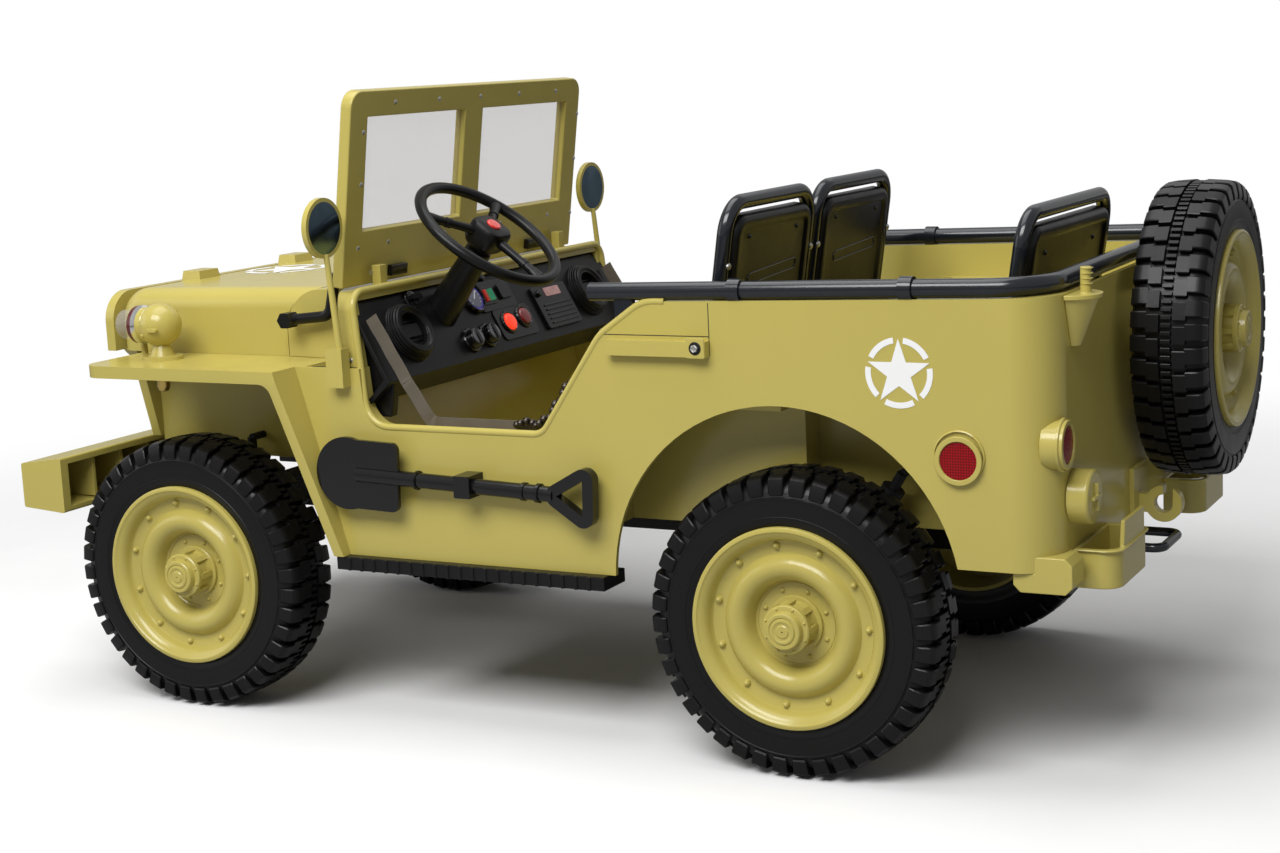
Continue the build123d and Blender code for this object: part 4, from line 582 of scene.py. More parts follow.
def tyre_mesh():
    made = bmesh.new()
    lathe(made, CARCASS + tuple((-a, r) for a, r in reversed(CARCASS[:-1])), 160)
    pitch = 2 * pi / LUG_COUNT
    for k in range(LUG_COUNT):
        for side in (1, -1):
            base = k * pitch + (0 if side > 0 else pitch / 2)
            lug(made, [(side * a, r) for a, r in SHOULDER_LUG], base, base + 0.71 * pitch, 0.0013)
            lug(made, [(side * a, r) for a, r in MIDDLE_LUG], base + 0.12 * pitch, base + 0.88 * pitch, 0.0010)
        for third in range(3):
            start = (k + third / 3) * pitch
            lug(made, CENTRE_RIB, start, start + 0.17 * pitch, 0.0006)
    return as_mesh("tyre", made)


RIM_OUTLINE = (
    # along the axle from the middle of the wheel, radius: face side first
    (0.0475, 0.1120), (0.0475, 0.1155), (0.0468, 0.1168), (0.0455, 0.1172), (0.0410, 0.1172), (0.0410, 0.1088),
    (-0.0440, 0.1088), (-0.0440, 0.1040), (0.0230, 0.1040), (0.0240, 0.0780), (0.0320, 0.0700), (0.0300, 0.0600),
    (0.0130, 0.0520), (0.0120, 0.0200), (0.0130, 0.0150),
)
RIM_FACE = (
    (0.0500, 0.0150), (0.0175, 0.0305), (0.0175, 0.0465), (0.0185, 0.0470), (0.0185, 0.0480), (0.0178, 0.0484),
    (0.0190, 0.0500), (0.0240, 0.0514), (0.0312, 0.0545), (0.0364, 0.0590), (0.0392, 0.0650), (0.0398, 0.0700),
    (0.0384, 0.0748), (0.0345, 0.0794), (0.0300, 0.0824), (0.0278, 0.0842), (0.0274, 0.0870), (0.0282, 0.0930),
    (0.0300, 0.0985), (0.0318, 0.1000), (0.0350, 0.1008), (0.0398, 0.1026), (0.0432, 0.1056), (0.0452, 0.1088),
    (0.0462, 0.1108),
)
HUB_OUTLINE = (
    (0.0150, 0.0010), (0.0150, 0.0335), (0.0215, 0.0335), (0.0222, 0.0328), (0.0222, 0.0262), (0.0425, 0.0246),
    (0.0430, 0.0285), (0.0475, 0.0285), (0.0488, 0.0272), (0.0492, 0.0222), (0.0560, 0.0210), (0.0572, 0.0198),
    (0.0572, 0.0168), (0.0562, 0.0162), (0.0562, 0.0150), (0.0576, 0.0142), (0.0580, 0.0120), (0.0568, 0.0100),
    (0.0568, 0.0080), (0.0580, 0.0066), (0.0580, 0.0010),
)


def rim_mesh():
    made = bmesh.new()
    lathe(made, RIM_FACE + RIM_OUTLINE, 128)
    lathe(made, HUB_OUTLINE, 64)
    # Nubs: count, share of a pitch that the first is on, circle, height, head radius and height
    for count, shift, circle, height, radius, head in (
        (11, 0.3, 0.0935, 0.0276, 0.0046, 0.0066),
        (8, 0.5, 0.0405, 0.0172, 0.0030, 0.0034),
        (8, 0.5, 0.0255, 0.0485, 0.0020, 0.0022),
    ):
        for k in range(count):
            turn = 2 * pi * (k + shift) / count
            dome(made, (circle * sin(turn), height, circle * cos(turn)), LEFT, radius, head)
    rib = rounded_rect(0.0066, 0.0205, 0.0008, 2, (0, 0.0326))
    for c, s in spin(8):
        extruded(made, rib, columns((c, 0, -s), LEFT, (s, 0, c)), 0.0290)
    return as_mesh("rim", made)


def build_wheels():
    tyre, rim = tyre_mesh(), rim_mesh()
    places = (
        # name, centre, turn about Z, body
        ("front_left", (FRONT_X, WHEEL_Y, WHEEL_RADIUS), 0, "wheel_front_left"),
        ("front_right", (FRONT_X, -WHEEL_Y, WHEEL_RADIUS), 180, "wheel_front_right"),
        ("rear_left", (REAR_X, WHEEL_Y, WHEEL_RADIUS), 0, "wheel_rear_left"),
        ("rear_right", (REAR_X, -WHEEL_Y, WHEEL_RADIUS), 180, "wheel_rear_right"),
        ("spare", SPARE, 90, "car"),
    )
    for name, centre, turn, body in places:
        at = Matrix.Translation(Vector(centre)) @ Matrix.Rotation(radians(turn), 4, "Z")
        place_mesh("tyre_" + name + "_tread", tyre, body, RUBBER, ["tyre_" + name], 30.0, at=at)
        place_mesh("rim_" + name + "_disc", rim, body, OLIVE, ["rim_" + name], 32.0, at=at)


# Steering wheel, column sleeve and horn button

COLUMN_ANGLE = radians(52.6)
COLUMN_UP = Vector((-cos(COLUMN_ANGLE), 0, sin(COLUMN_ANGLE)))
WHEEL_HEAD = Vector((0.150, 0.130, 0.600))


def column_matrix():
    """X to the left, Z along the column towards the driver."""
    turn = columns(LEFT, COLUMN_UP.cross(LEFT), COLUMN_UP)
    return Matrix.Translation(WHEEL_HEAD) @ turn.to_4x4()


def build_steering():
    grip_radius, grip_wide, grip_thick, reach = 0.0970, 0.0078, 0.0072, 0.095
    at = column_matrix()
    made = bmesh.new()
    ring = []
    for c, s in spin(96):
        radii = [(grip_radius + grip_wide * a, grip_thick * b) for a, b in spin(16)]
        ring.append([Vector((radius * c, radius * s, lift)) for radius, lift in radii])
    ring_grid(made, ring, closed_rows=True)
    stations = (
        # share of the reach, half width, half height
        (0.15, 0.0085, 0.0070), (0.42, 0.0056, 0.0056), (0.62, 0.0054, 0.0054), (0.625, 0.0070, 0.0066),
        (0.70, 0.0070, 0.0066), (0.705, 0.0058, 0.0056), (0.80, 0.0066, 0.0060), (0.97, 0.0092, 0.0064),
    )
    for angle in (90, 210, 330):
        c, s = cos(radians(angle)), sin(radians(angle))
        out, side, up = Vector((c, s, 0)), Vector((-s, c, 0)), Vector((0, 0, 1))
        ring_grid(made, [
            [out * (reach * share) + side * (wide * a) + up * (high * b) for a, b in spin(14)]
            for share, wide, high in stations
        ])
    hub = rounded_rect(0.050, 0.046, 0.014, 6)
    levels = (
        # lift, scale
        (-0.0240, 0.55), (-0.0180, 0.86), (-0.0120, 1.0), (0.0080, 1.0), (0.0125, 0.92), (0.0140, 0.80),
    )
    capped(made, [[Vector((x * scale, y * scale, lift)) for x, y in hub] for lift, scale in levels])
    name, body = "steering_wheel_rim", "steering_wheel"
    place_mesh(name, as_mesh(name, made), body, BLACK, ["steering_wheel"], 32.0, at=at)
    made = bmesh.new()
    cap = ((0.0125, 0.0004), (0.0125, 0.0098), (0.0155, 0.0098), (0.0168, 0.0086), (0.0172, 0.0004))
    lathe(made, cap, 32, axis="Z")
    name = "horn_button_cap"
    place_mesh(name, as_mesh(name, made), body, RED_GLOSS, ["horn_button"], at=at)


# Seats

BACK_LEAN = radians(9.0)
BACK_UP = Vector((-sin(BACK_LEAN), 0, cos(BACK_LEAN)))
BACK_OUT = Vector((-cos(BACK_LEAN), 0, -sin(BACK_LEAN)))


def seat_back(made, foot, height, half):
    """A moulded back: rounded slab with a raised border, a sunk panel behind and a crowned front."""
    sections = (
        # inset from the outline, depth
        (0.0440, 0.0086), (0.0190, 0.0086), (0.0178, 0.0088), (0.0150, 0.0116), (0.0138, 0.0120),
        (0.0075, 0.0120), (0.0040, 0.0114), (0.0014, 0.0090), (0.0, 0.0050), (0.0, -0.0050),
        (0.0016, -0.0084), (0.0060, -0.0108), (0.0140, -0.0118), (0.0260, -0.0122), (0.0440, -0.0124),
    )
    rows = []
    for inset, depth in sections:
        corner = max(0.026 - inset, 0.004)
        outline = rounded_rect(2 * (half - inset), height - 2 * inset, corner, 7, (0, height / 2))
        rows.append([foot + LEFT * u + BACK_UP * v + BACK_OUT * depth for u, v in outline])
    capped(made, rows)


def build_seats():
    table = (
        # name, foot x, foot z, top z, half width, centre y
        ("front_left", -0.215, 0.424, 0.653, 0.110, 0.131),
        ("front_right", -0.215, 0.424, 0.653, 0.110, -0.131),
        ("rear", -0.532, 0.340, 0.632, 0.157, 0.0),
    )
    start, drop, tube_radius = 0.016, 0.017, 0.009
    for name, foot_x, foot_z, top_z, half, y in table:
        rise = (top_z - tube_radius - foot_z) / cos(BACK_LEAN) - drop - start
        foot = Vector((foot_x, y, foot_z)) + BACK_UP * start
        made = bmesh.new()
        seat_back(made, foot, rise + 0.004, half)
        stands_for = ["seats"] if name == "front_left" else ()
        finish_mesh("seat_back_" + name, made, BLACK, stands_for, 40.0)
        for count, level in enumerate((0.30, 0.62)):
            slot = rounded_rect(1.25 * half, 0.013, 0.006, 6, (-0.06 * half, rise * level))
            route = [foot + LEFT * u + BACK_UP * (v - 0.05 * u) + BACK_OUT * 0.0086 for u, v in slot]
            tube("seat_slot_" + name + "_" + str(count), route, 0.0012, BLACK_GLOSS, cyclic=True, resolution=2)
        made = bmesh.new()
        for u in (-0.62, 0.62):
            spot = foot + LEFT * (u * half) + BACK_UP * (rise * 0.88) + BACK_OUT * 0.0080
            dome(made, spot, BACK_OUT, 0.0034, 0.0030, 10)
        finish_mesh("seat_screws_" + name, made, BLACK_GLOSS)
        made = bmesh.new()
        bolt = ((-0.002, 0.0042), (0.0012, 0.0042), (0.0026, 0.0030), (0.0030, 0.0008))
        for reach in (half + tube_radius, -half - tube_radius):
            spot = foot + LEFT * reach + BACK_UP * (rise * 0.72) + BACK_OUT * 0.0085
            turned(made, bolt, spot, BACK_OUT, 14)
        finish_mesh("seat_tube_bolts_" + name, made, ZINC)
    for name, x0, x1, z0, z1, half, y in (
        ("front_left", -0.198, -0.104, 0.424, 0.448, 0.122, 0.131),
        ("front_right", -0.198, -0.104, 0.424, 0.448, 0.122, -0.131),
        ("rear", -0.516, -0.396, 0.340, 0.404, 0.175, 0.0),
    ):
        made = bmesh.new()
        outline = rounded_rect(x1 - x0, 2 * half, 0.012, 6)
        levels = (
            # share of the height, scale
            (0.0, 0.97), (0.1, 1.0), (0.75, 1.0), (0.93, 0.97), (1.0, 0.90), (0.93, 0.80), (0.90, 0.4),
        )
        capped(made, [
            [Vector(((x0 + x1) / 2 + px * scale, y + py * scale, z0 + (z1 - z0) * lift)) for px, py in outline]
            for lift, scale in levels
        ])
        finish_mesh("seat_cushion_" + name, made, BLACK, angle=40.0)


# White stars

def star_points(radius):
    reaches = (radius, radius * 0.382)
    turns = [pi / 2 + pi * k / 5 for k in range(10)]
    return [(reaches[k % 2] * cos(turn), reaches[k % 2] * sin(turn)) for k, turn in enumerate(turns)]


def star_mark(name, centre, plane, ring_out, ring_in, star):
    """A star in a ring that is broken at the star's points."""
    thickness, gap, steps = 0.0003, radians(9), 14
    made = bmesh.new()
    extruded(made, star_points(star), plane, thickness, centre)
    for k in range(5):
        start = pi / 2 + 2 * pi * k / 5 + gap
        end = pi / 2 + 2 * pi * (k + 1) / 5 - gap
        turns = [start + (end - start) * i / steps for i in range(steps + 1)]
        outline = [(ring_out * cos(turn), ring_out * sin(turn)) for turn in turns]
        outline += [(ring_in * cos(turn), ring_in * sin(turn)) for turn in reversed(turns)]
        extruded(made, outline, plane, thickness, centre)
    finish_mesh(name, made, WHITE, smooth=False)


def build_marks():
    for side, sign in SIDES.items():
        plane = axes((-sign, 0, 0), (0, 0, 1))
        star_mark("star_" + side, (-0.483, sign * (BODY_HALF + 0.0002), 0.468), plane, 0.0390, 0.0325, 0.0375)


# Door rim, seams, screws

def build_door_rims():
    for side, sign in SIDES.items():
        y = sign * 0.3215
        route = filleted(
            [
                (0.2375, sign * 0.250, 0.5445), (0.2375, sign * 0.3150, 0.5445), (0.2285, sign * 0.3165, 0.452),
                (0.2205, y, 0.380), (-0.030, y, 0.380), (-0.114, y, 0.501), (-0.172, y, 0.541), (-0.200, y, 0.5412),
            ],
            [0.022, 0.050, 0.036, 0.024, 0.060, 0.050], 10,
        )
        tube("door_rim_" + side, route, 0.0048, OLIVE)
    route = [(0.2375, y / 20 * 0.250, 0.5445) for y in range(-20, 21)]
    tube("dash_rim", route, 0.0048, OLIVE)


def strip(made, start, end, half, normal):
    """A thin line from start to end, just proud of a surface."""
    start, end, normal = Vector(start), Vector(end), Vector(normal)
    along, length = (end - start).normalized(), (end - start).length
    outline = [(half, 0), (half, length), (-half, length), (-half, 0)]
    extruded(made, outline, columns(along.cross(normal), along, normal), 0.0006, start - normal * 0.0004)


def build_seams():
    made = bmesh.new()
    for sign in (1, -1):
        y = sign * BODY_HALF
        out = (0, sign, 0)
        strip(made, (-0.114, y, 0.5025), (-0.256, y, 0.5025), 0.0005, out)
        strip(made, (-0.256, y, 0.480), (-0.256, y, 0.5405), 0.0005, out)
        strip(made, (0.227, y - sign * 0.0065, 0.4522), (0.30, y - sign * 0.0065, 0.4522), 0.0006, out)
    finish_mesh("door_seams", made, SHADOW, smooth=False)


def screw(made, centre, out):
    dome(made, centre, out, 0.0034, 0.0012, 12, 3)


def build_screws():
    made = bmesh.new()
    lean = radians(8.1)
    back = Vector((-cos(lean), 0, -sin(lean)))
    up = Vector((-sin(lean), 0, cos(lean)))
    foot = Vector((0.264, 0, 0.5445))
    spots = [(y, 0.230) for y in (-0.20, -0.10, 0.0, 0.10, 0.20)]
    spots += [(s * 0.266, v) for s in (1, -1) for v in (0.050, 0.130, 0.195)]
    spots += [(y, 0.052) for y in (-0.20, -0.07, 0.07, 0.20)]
    spots += [(s * 0.235, 0.016) for s in (1, -1)]
    for y, v in spots:
        screw(made, foot + LEFT * y + up * v, back)
    finish_mesh("windshield_screws", made, ZINC, body="windshield")


# Straps in the door openings

def build_straps():
    lift, width, thick = 0.003, 0.017, 0.0016
    turn = atan2(0.121, 0.084)
    for side, sign in SIDES.items():
        y = sign * 0.3002
        corners = [
            (0.220, y, 0.513), (0.173, y, 0.434), (0.139, y, SILL_TOP + lift), (-0.030, y, SILL_TOP + lift),
            (-0.114 + lift / sin(turn), y, 0.501),
        ]
        route = filleted(corners, 0.017, 8)
        dense = []
        for a, b in zip(route, route[1:]):
            steps = max(1, int((b - a).length / 0.006))
            dense += [a.lerp(b, i / steps) for i in range(steps)]
        dense.append(route[-1])
        made = bmesh.new()
        rows = []
        for k, point in enumerate(dense):
            ahead = (dense[min(k + 1, len(dense) - 1)] - dense[max(k - 1, 0)]).normalized()
            across = LEFT.cross(ahead)
            ripple = 0.0005 * sin(k * 0.9)
            rows.append([
                point + across * (width / 2 * u) + LEFT * (w * thick / 2 + ripple)
                for u, w in ((-1, 1), (-0.9, 1.2), (0.9, 1.2), (1, 1), (1, -1), (-1, -1))
            ])
        capped(made, rows)
        stands_for = ["door_straps"] if side == "left" else ()
        piece = finish_mesh("door_strap_" + side, made, STRAP, stands_for, 60.0)


# Dash: pods, gauge, knobs, buttons, rocker panel, radio

DASH_RISE = Vector((0.4788, 0, 0.8778))
DASH_OUT = Vector((-0.8778, 0, 0.4788))
DASH_PLANE = columns(LEFT, DASH_RISE, DASH_OUT)


def on_dash(y, rise, height=0.0):
    return Vector((0.190, y, 0.434)) + DASH_RISE * rise + DASH_OUT * height


def build_pods():
    made = bmesh.new()
    flare = (
        (0.0000, 0.0400), (0.0026, 0.0400), (0.0034, 0.0388), (0.0052, 0.0388), (0.0060, 0.0376), (0.0084, 0.0376),
        (0.0092, 0.0362), (0.0118, 0.0360), (0.0130, 0.0345), (0.0152, 0.0340), (0.0164, 0.0325), (0.0166, 0.0288),
        (0.0150, 0.0262), (0.0110, 0.0240), (0.0050, 0.0232), (0.0000, 0.0228),
    )
    plate = rounded_rect(0.034, 0.017, 0.003, 3)
    for y in (0.229, -0.229):
        turned(made, flare, on_dash(y, 0.056), DASH_OUT, 64, False)
        extruded(made, plate, DASH_PLANE, 0.0022, on_dash(y, 0.056, 0.0068))
        for level in (-0.013, 0, 0.013):
            line = rounded_rect(0.0420, 0.0012, 0.0005, 1, (0, level))
            extruded(made, line, DASH_PLANE, 0.0030, on_dash(y, 0.056, 0.0030))
    finish_mesh("dash_pods", made, BLACK, angle=30.0)


def build_cheeks():
    """Black ends below the dash, beside the door openings."""
    made = bmesh.new()
    outline = [(0.1935, 0.4360), (0.2380, 0.5150), (0.2420, 0.5150), (0.2420, 0.3880), (0.2010, 0.3880)]
    for sign in (1, -1):
        plane = columns((1, 0, 0), (0, 0, 1), (0, sign, 0))
        extruded(made, outline, plane, 0.0135, (0, sign * 0.2840, 0))
    round_edges(finish_mesh("dash_cheeks", made, BLACK, angle=30.0), 0.0025, 3)


def turned_dash(turn):
    """The dash plane turned about its outward direction."""
    return DASH_PLANE @ Matrix.Rotation(turn, 3, "Z")


def build_gauge():
    spot = on_dash(0.055, 0.082)
    made = bmesh.new()
    bezel = (
        (-0.001, 0.0232), (0.0040, 0.0232), (0.0058, 0.0222), (0.0066, 0.0206), (0.0060, 0.0192), (0.0036, 0.0184),
        (-0.001, 0.0184),
    )
    turned(made, bezel, spot, DASH_OUT, 48, False)
    finish_mesh("gauge_bezel", made, BLACK_GLOSS, angle=30.0)
    made = bmesh.new()
    turned(made, ((0.0, 0.0186), (0.0030, 0.0186), (0.0034, 0.0150), (0.0034, 0.0148)), spot, DASH_OUT, 48)
    finish_mesh("gauge_ring", made, DIAL_RING)
    made = bmesh.new()
    turned(made, ((0.0030, 0.0150), (0.0040, 0.0146), (0.0042, 0.0020)), spot, DASH_OUT, 48)
    finish_mesh("gauge_dial", made, DIAL)
    made = bmesh.new()
    tick = rounded_rect(0.0007, 0.0030, 0.0002, 1, (0, 0.0125))
    for k in range(11):
        extruded(made, tick, turned_dash(radians(130 - 26 * k)), 0.0044, spot)
    needle = [(-0.0009, -0.003), (0.0009, -0.003), (0.0003, 0.0118), (-0.0003, 0.0118)]
    extruded(made, needle, turned_dash(radians(40)), 0.0050, spot)
    finish_mesh("gauge_marks", made, WHITE, smooth=False)


def build_knobs():
    made, faces = bmesh.new(), bmesh.new()
    skirt = (
        (-0.001, 0.0172), (0.0034, 0.0170), (0.0050, 0.0158), (0.0052, 0.0140), (0.0130, 0.0130), (0.0140, 0.0122),
        (0.0142, 0.0112),
    )
    face = ((0.0136, 0.0110), (0.0146, 0.0108), (0.0149, 0.0092), (0.0149, 0.0010))
    bar = rounded_rect(0.0052, 0.0215, 0.0020, 3)
    for y, rise in ((0.106, 0.026), (0.064, 0.027)):
        spot = on_dash(y, rise)
        turned(made, skirt, spot, DASH_OUT, 40)
        turned(faces, face, spot, DASH_OUT, 40)
        extruded(made, bar, DASH_PLANE, 0.0168, spot)
    spot = on_dash(0.190, 0.098)
    base = ((-0.001, 0.0125), (0.003, 0.0125), (0.0042, 0.0112), (0.0060, 0.0108), (0.0064, 0.0090))
    turned(made, base, spot, DASH_OUT)
    extruded(made, rounded_rect(0.0230, 0.0072, 0.0026, 3), DASH_PLANE, 0.0135, spot)
    for k in range(3):
        spot = on_dash(0.058 - 0.022 * k, 0.1075)
        turned(made, ((-0.001, 0.0062), (0.0042, 0.0060), (0.0056, 0.0044), (0.0058, 0.0010)), spot, DASH_OUT, 20)
    rim = ((-0.001, 0.0168), (0.0038, 0.0166), (0.0054, 0.0154), (0.0056, 0.0140), (0.0046, 0.0126), (0.0010, 0.0122))
    for y, rise in ((0.003, 0.037), (-0.037, 0.040)):
        turned(made, rim, on_dash(y, rise), DASH_OUT, 40, False)
    finish_mesh("dash_knobs", made, BLACK_GLOSS, ["dash_controls"], 30.0)
    finish_mesh("dash_knob_faces", faces, KNOB_FACE)
    cap = ((0.0010, 0.0124), (0.0060, 0.0120), (0.0078, 0.0104), (0.0086, 0.0070), (0.0088, 0.0010))
    for name, y, rise, material in (("button_lit", 0.003, 0.037, RED_LIT), ("button_red", -0.037, 0.040, RED_DEEP)):
        made = bmesh.new()
        turned(made, cap, on_dash(y, rise), DASH_OUT, 40)
        finish_mesh(name, made, material)


def build_panels():
    made = bmesh.new()
    for outline, height in (
        (rounded_rect(0.088, 0.044, 0.005, 4, (0.004, 0.080)), 0.0028),
        (rounded_rect(0.090, 0.046, 0.008, 4, (-0.016, 0.036)), 0.0022),
        (rounded_rect(0.030, 0.026, 0.003, 3, (0.022, 0.080)), 0.0048),
        (rounded_rect(0.026, 0.022, 0.003, 3, (-0.018, 0.082)), 0.0070),
        (rounded_rect(0.092, 0.064, 0.004, 4, (-0.130, 0.045)), 0.0048),
    ):
        extruded(made, outline, DASH_PLANE, height, on_dash(0, 0))
    for k in range(5):
        line = rounded_rect(0.074, 0.0028, 0.0012, 2, (-0.134, 0.020 + 0.0068 * k))
        extruded(made, line, DASH_PLANE, 0.0066, on_dash(0, 0))
    knob = ((0.003, 0.0052), (0.0090, 0.0050), (0.0098, 0.0038), (0.0098, 0.0005))
    turned(made, knob, on_dash(-0.096, 0.066), DASH_OUT, 24)
    piece = finish_mesh("dash_panels", made, BLACK_GLOSS, angle=30.0)
    round_edges(piece, 0.0008, 2)
    made = bmesh.new()
    extruded(made, rounded_rect(0.040, 0.013, 0.0015, 2, (-0.134, 0.066)), DASH_PLANE, 0.0060, on_dash(0, 0))
    finish_mesh("radio_display", made, DISPLAY, smooth=False)
    rocker = ((0, 0.0), (0.0105, 0.0), (0.0105, 0.0078), (0.0085, 0.0088), (0.0, 0.0056))
    for name, sign, material in (("rocker_red", 1, RED_GLOSS), ("rocker_green", -1, GREEN)):
        made = bmesh.new()
        plane = columns(LEFT * sign, DASH_OUT, (LEFT * sign).cross(DASH_OUT))
        extruded(made, rocker, plane, 0.0170, on_dash(0.022, 0.080) - plane.col[2] * 0.0085)
        finish_mesh(name, made, material, smooth=False)


# Hood: star on the top, dark gap at its rear edge

def skin_point(name, start, aim):
    """Where a ray from outside meets a CAD solid."""
    start, aim = Vector(start), Vector(aim)
    hit, place, normal, _ = nodes[name].ray_cast(start, (aim - start).normalized())
    return place if hit else None


def build_hood_marks():
    x, reach = 0.574, 0.040
    spots = [skin_point("hood", (x + dx, 0, 0.9), (x + dx, 0, 0.4)) for dx in (0, -reach)]
    rise = (spots[0] - spots[1]).normalized()
    plane = axes(LEFT, -rise)
    star_mark("star_hood", spots[0] + plane.col[2] * 0.0003, plane, 0.0590, 0.0490, 0.0570)
    for side, sign in SIDES.items():
        route = []
        for k in range(41):
            turn = radians(2 + 88 * k / 40)
            start = (0.3385, sign * 0.6 * cos(turn), 0.4535 + 0.6 * sin(turn))
            place = skin_point("hood", start, (0.3385, 0, 0.4535))
            if place is not None:
                route.append(place)
        tube("hood_gap_" + side, route, 0.0009, SHADOW, resolution=2)


# Fender lamp ring, lamp bulb under the fender, reflector rings

def build_lamps():
    made = bmesh.new()
    ahead, spot = Vector((1, 0, 0)), Vector((0.584, 0.299, 0.497))
    turned(made, ((-0.006, 0.0225), (-0.0040, 0.0252), (-0.0006, 0.0256), (0.0008, 0.0246)), spot, ahead, 40)
    finish_mesh("lamp_chrome_ring", made, CHROME, angle=30.0)
    made = bmesh.new()
    turned(made, ((0.0004, 0.0250), (0.0060, 0.0246), (0.0072, 0.0230), (0.0072, 0.0180)), spot, ahead, 40)
    finish_mesh("lamp_red_ring", made, DARK_RED, angle=30.0)
    made = bmesh.new()
    pin = ((-0.0010, 0.0030), (0.0012, 0.0030), (0.0016, 0.0020))
    turned(made, pin, (0.5660, 0.3225, 0.4850), (0.2, 0.9, -0.45), 14)
    tab = rounded_rect(0.0150, 0.0050, 0.0020, 3, (0.5440, 0.4935))
    extruded(made, tab, axes((1, 0, 0), (0, 0, 1)), -0.0060, (0, 0.3245, 0))
    turned(made, ((0.0, 0.0048), (0.0300, 0.0036)), (0.5920, 0.2900, 0.4500), (0, 0, 1), 18)
    turned(made, ((0.0, 0.0090), (0.0042, 0.0084), (0.0060, 0.0050)), (0.5920, 0.2900, 0.4510), (0, 0, 1), 18)
    piece = finish_mesh("lamp_lugs", made, OLIVE)
    round_edges(piece, 0.0006, 2)
    made = bmesh.new()
    bulb = ((0.0, 0.0062), (0.0180, 0.0062), (0.0200, 0.0085), (0.0300, 0.0085), (0.0355, 0.0060), (0.0370, 0.0020))
    for sign in (1, -1):
        turned(made, bulb, (0.556, sign * 0.300, 0.4460), (0, 0, -1), 20)
    finish_mesh("fender_bulbs", made, BRASS)
    made = bmesh.new()
    ring = ((-0.0005, 0.0292), (0.0022, 0.0290), (0.0032, 0.0276))
    for x, y, z, out in (
        (-0.550, 0.325, 0.379, (0, 1, 0)), (-0.550, -0.325, 0.379, (0, -1, 0)),
        (-0.655, 0.294, 0.391, (-1, 0, 0)), (-0.655, -0.294, 0.391, (-1, 0, 0)),
    ):
        turned(made, ring, (x, y, z), out, 48, False)
    finish_mesh("reflector_feet", made, OLIVE)


# Shovel collars, screws on the body, damper springs

def build_shovel_trim():
    tilt = radians(2.2)
    way = Vector((cos(tilt), 0, sin(tilt)))
    made = bmesh.new()
    for x, half, radius in ((0.136, 0.0022, 0.0120), (-0.014, 0.0030, 0.0112), (-0.034, 0.0030, 0.0118)):
        spot = Vector((x, 0.344, 0.322 + (x - 0.164) * tan(tilt)))
        low, flank = radius - 0.0015, half - 0.0008
        turned(made, ((-half, low), (-flank, radius), (flank, radius), (half, low)), spot, way, 28, False)
    finish_mesh("shovel_collars", made, BLACK_GLOSS, angle=30.0)


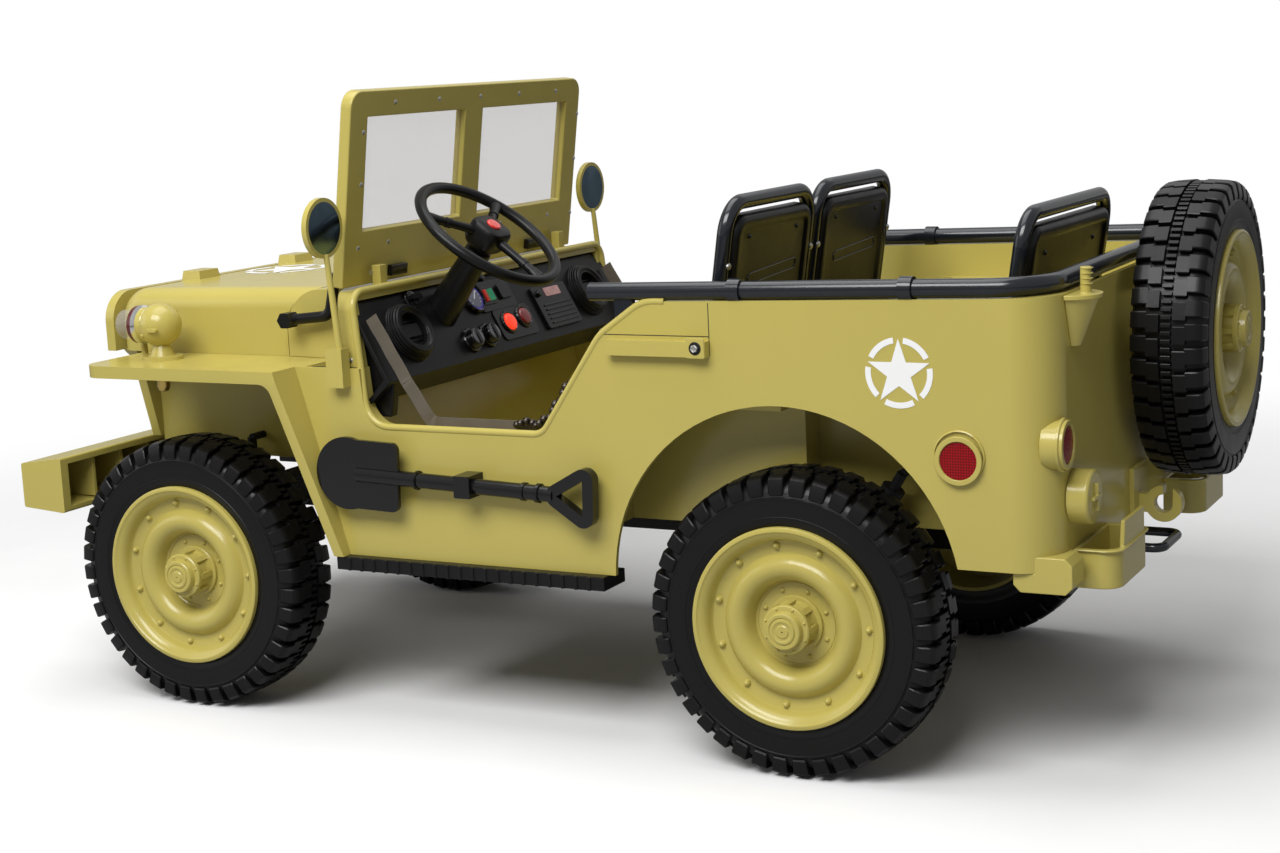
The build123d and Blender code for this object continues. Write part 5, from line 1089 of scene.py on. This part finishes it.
def build_body_screws():
    """The door handles' hex screws with plates and a dark ring of painted shade round each, and a screw below each
    end of the dash.
    """
    x, z = -0.2440, 0.4905
    hexagon = ((-0.001, 0.0046), (0.0030, 0.0046), (0.0036, 0.0038), (0.0030, 0.0022), (0.0030, 0.0004))
    # Dark ring under each handle screw: painted shade of the recess round the screw
    shade_ring = ((-0.001, 0.0076), (0.0014, 0.0076), (0.0019, 0.0070), (0.0019, 0.0010))
    screws, shade_rings, plates = bmesh.new(), bmesh.new(), bmesh.new()
    for sign in (1, -1):
        out = LEFT * sign
        face = skin_point("tub", (x, sign * 0.5, z), (x, 0, z))
        screw(screws, (0.2420, sign * 0.3178, 0.4610), out)
        turned(screws, hexagon, face + out * 0.0012, out, 6)
        turned(shade_rings, shade_ring, face, out, 24)
        outline = rounded_rect(0.0230, 0.0230, 0.0015, 2, (-sign * x, z))
        extruded(plates, outline, axes((-sign, 0, 0), (0, 0, 1)), 0.0016, (0, face.y - sign * 0.0005, 0))
    finish_mesh("body_screws", screws, ZINC, angle=30.0)
    # Painted shade: the dark rings under the handle screws
    finish_mesh("handle_screw_shade_rings", shade_rings, STEEL, angle=30.0)
    piece = finish_mesh("handle_plates", plates, OLIVE, angle=30.0)
    round_edges(piece, 0.0006, 2)


def build_stud_ribs():
    made = bmesh.new()
    ring = ((-0.0009, 0.0058), (-0.0005, 0.0070), (0.0005, 0.0070), (0.0009, 0.0058))
    for k in range(4):
        turned(made, ring, STUD + Vector((0, 0, 0.010 + 0.0055 * k)), (0, 0, 1), 20, False)
    finish_mesh("aerial_stud_ribs", made, OLIVE, angle=30.0)


def build_springs():
    for side, sign in SIDES.items():
        foot, head = Vector((-0.364, sign * 0.238, 0.198)), Vector((-0.450, sign * 0.238, 0.338))
        way = (head - foot).normalized()
        up = way.cross(LEFT)
        length = (head - foot).length
        route = []
        for k in range(161):
            share = k / 160
            turn = 2 * pi * 7 * share
            spot = foot + way * (length * (0.24 + 0.58 * share))
            route.append(spot + (LEFT * cos(turn) + up * sin(turn)) * 0.0152)
        tube("damper_spring_" + side, route, 0.0023, SPRING_RED, resolution=2)


# Bead chain that ends each strap at the rear of the door opening

def build_chains():
    made = bmesh.new()
    bead = ((-0.0042, 0.0012), (-0.0032, 0.0040), (0.0, 0.0052), (0.0032, 0.0040), (0.0042, 0.0012))
    for sign in (1, -1):
        y = sign * 0.3068
        route = filleted([(0.014, y, 0.3900), (-0.026, y, 0.3900), (-0.064, y, 0.4440)], 0.030, 10)
        travelled, count = 0.0, 0
        for a, b in zip(route, route[1:]):
            length, way = (b - a).length, (b - a).normalized()
            while travelled <= length:
                spot = a + way * travelled
                across = LEFT if count % 2 else way.cross(LEFT)
                turned(made, bead, spot + across * 0.0026 * (1 if count % 4 < 2 else -1), way, 12)
                travelled += 0.0066
                count += 1
            travelled -= length
    finish_mesh("door_chains", made, CHAIN, angle=60.0)


build_camera()
build_stage()
dress_solids()
build_wheels()
build_steering()
build_seats()
build_marks()
build_door_rims()
build_seams()
build_screws()
build_straps()
build_chains()
build_pods()
build_cheeks()
build_gauge()
build_knobs()
build_panels()
build_hood_marks()
build_lamps()
build_shovel_trim()
build_body_screws()
build_stud_ribs()
build_springs()
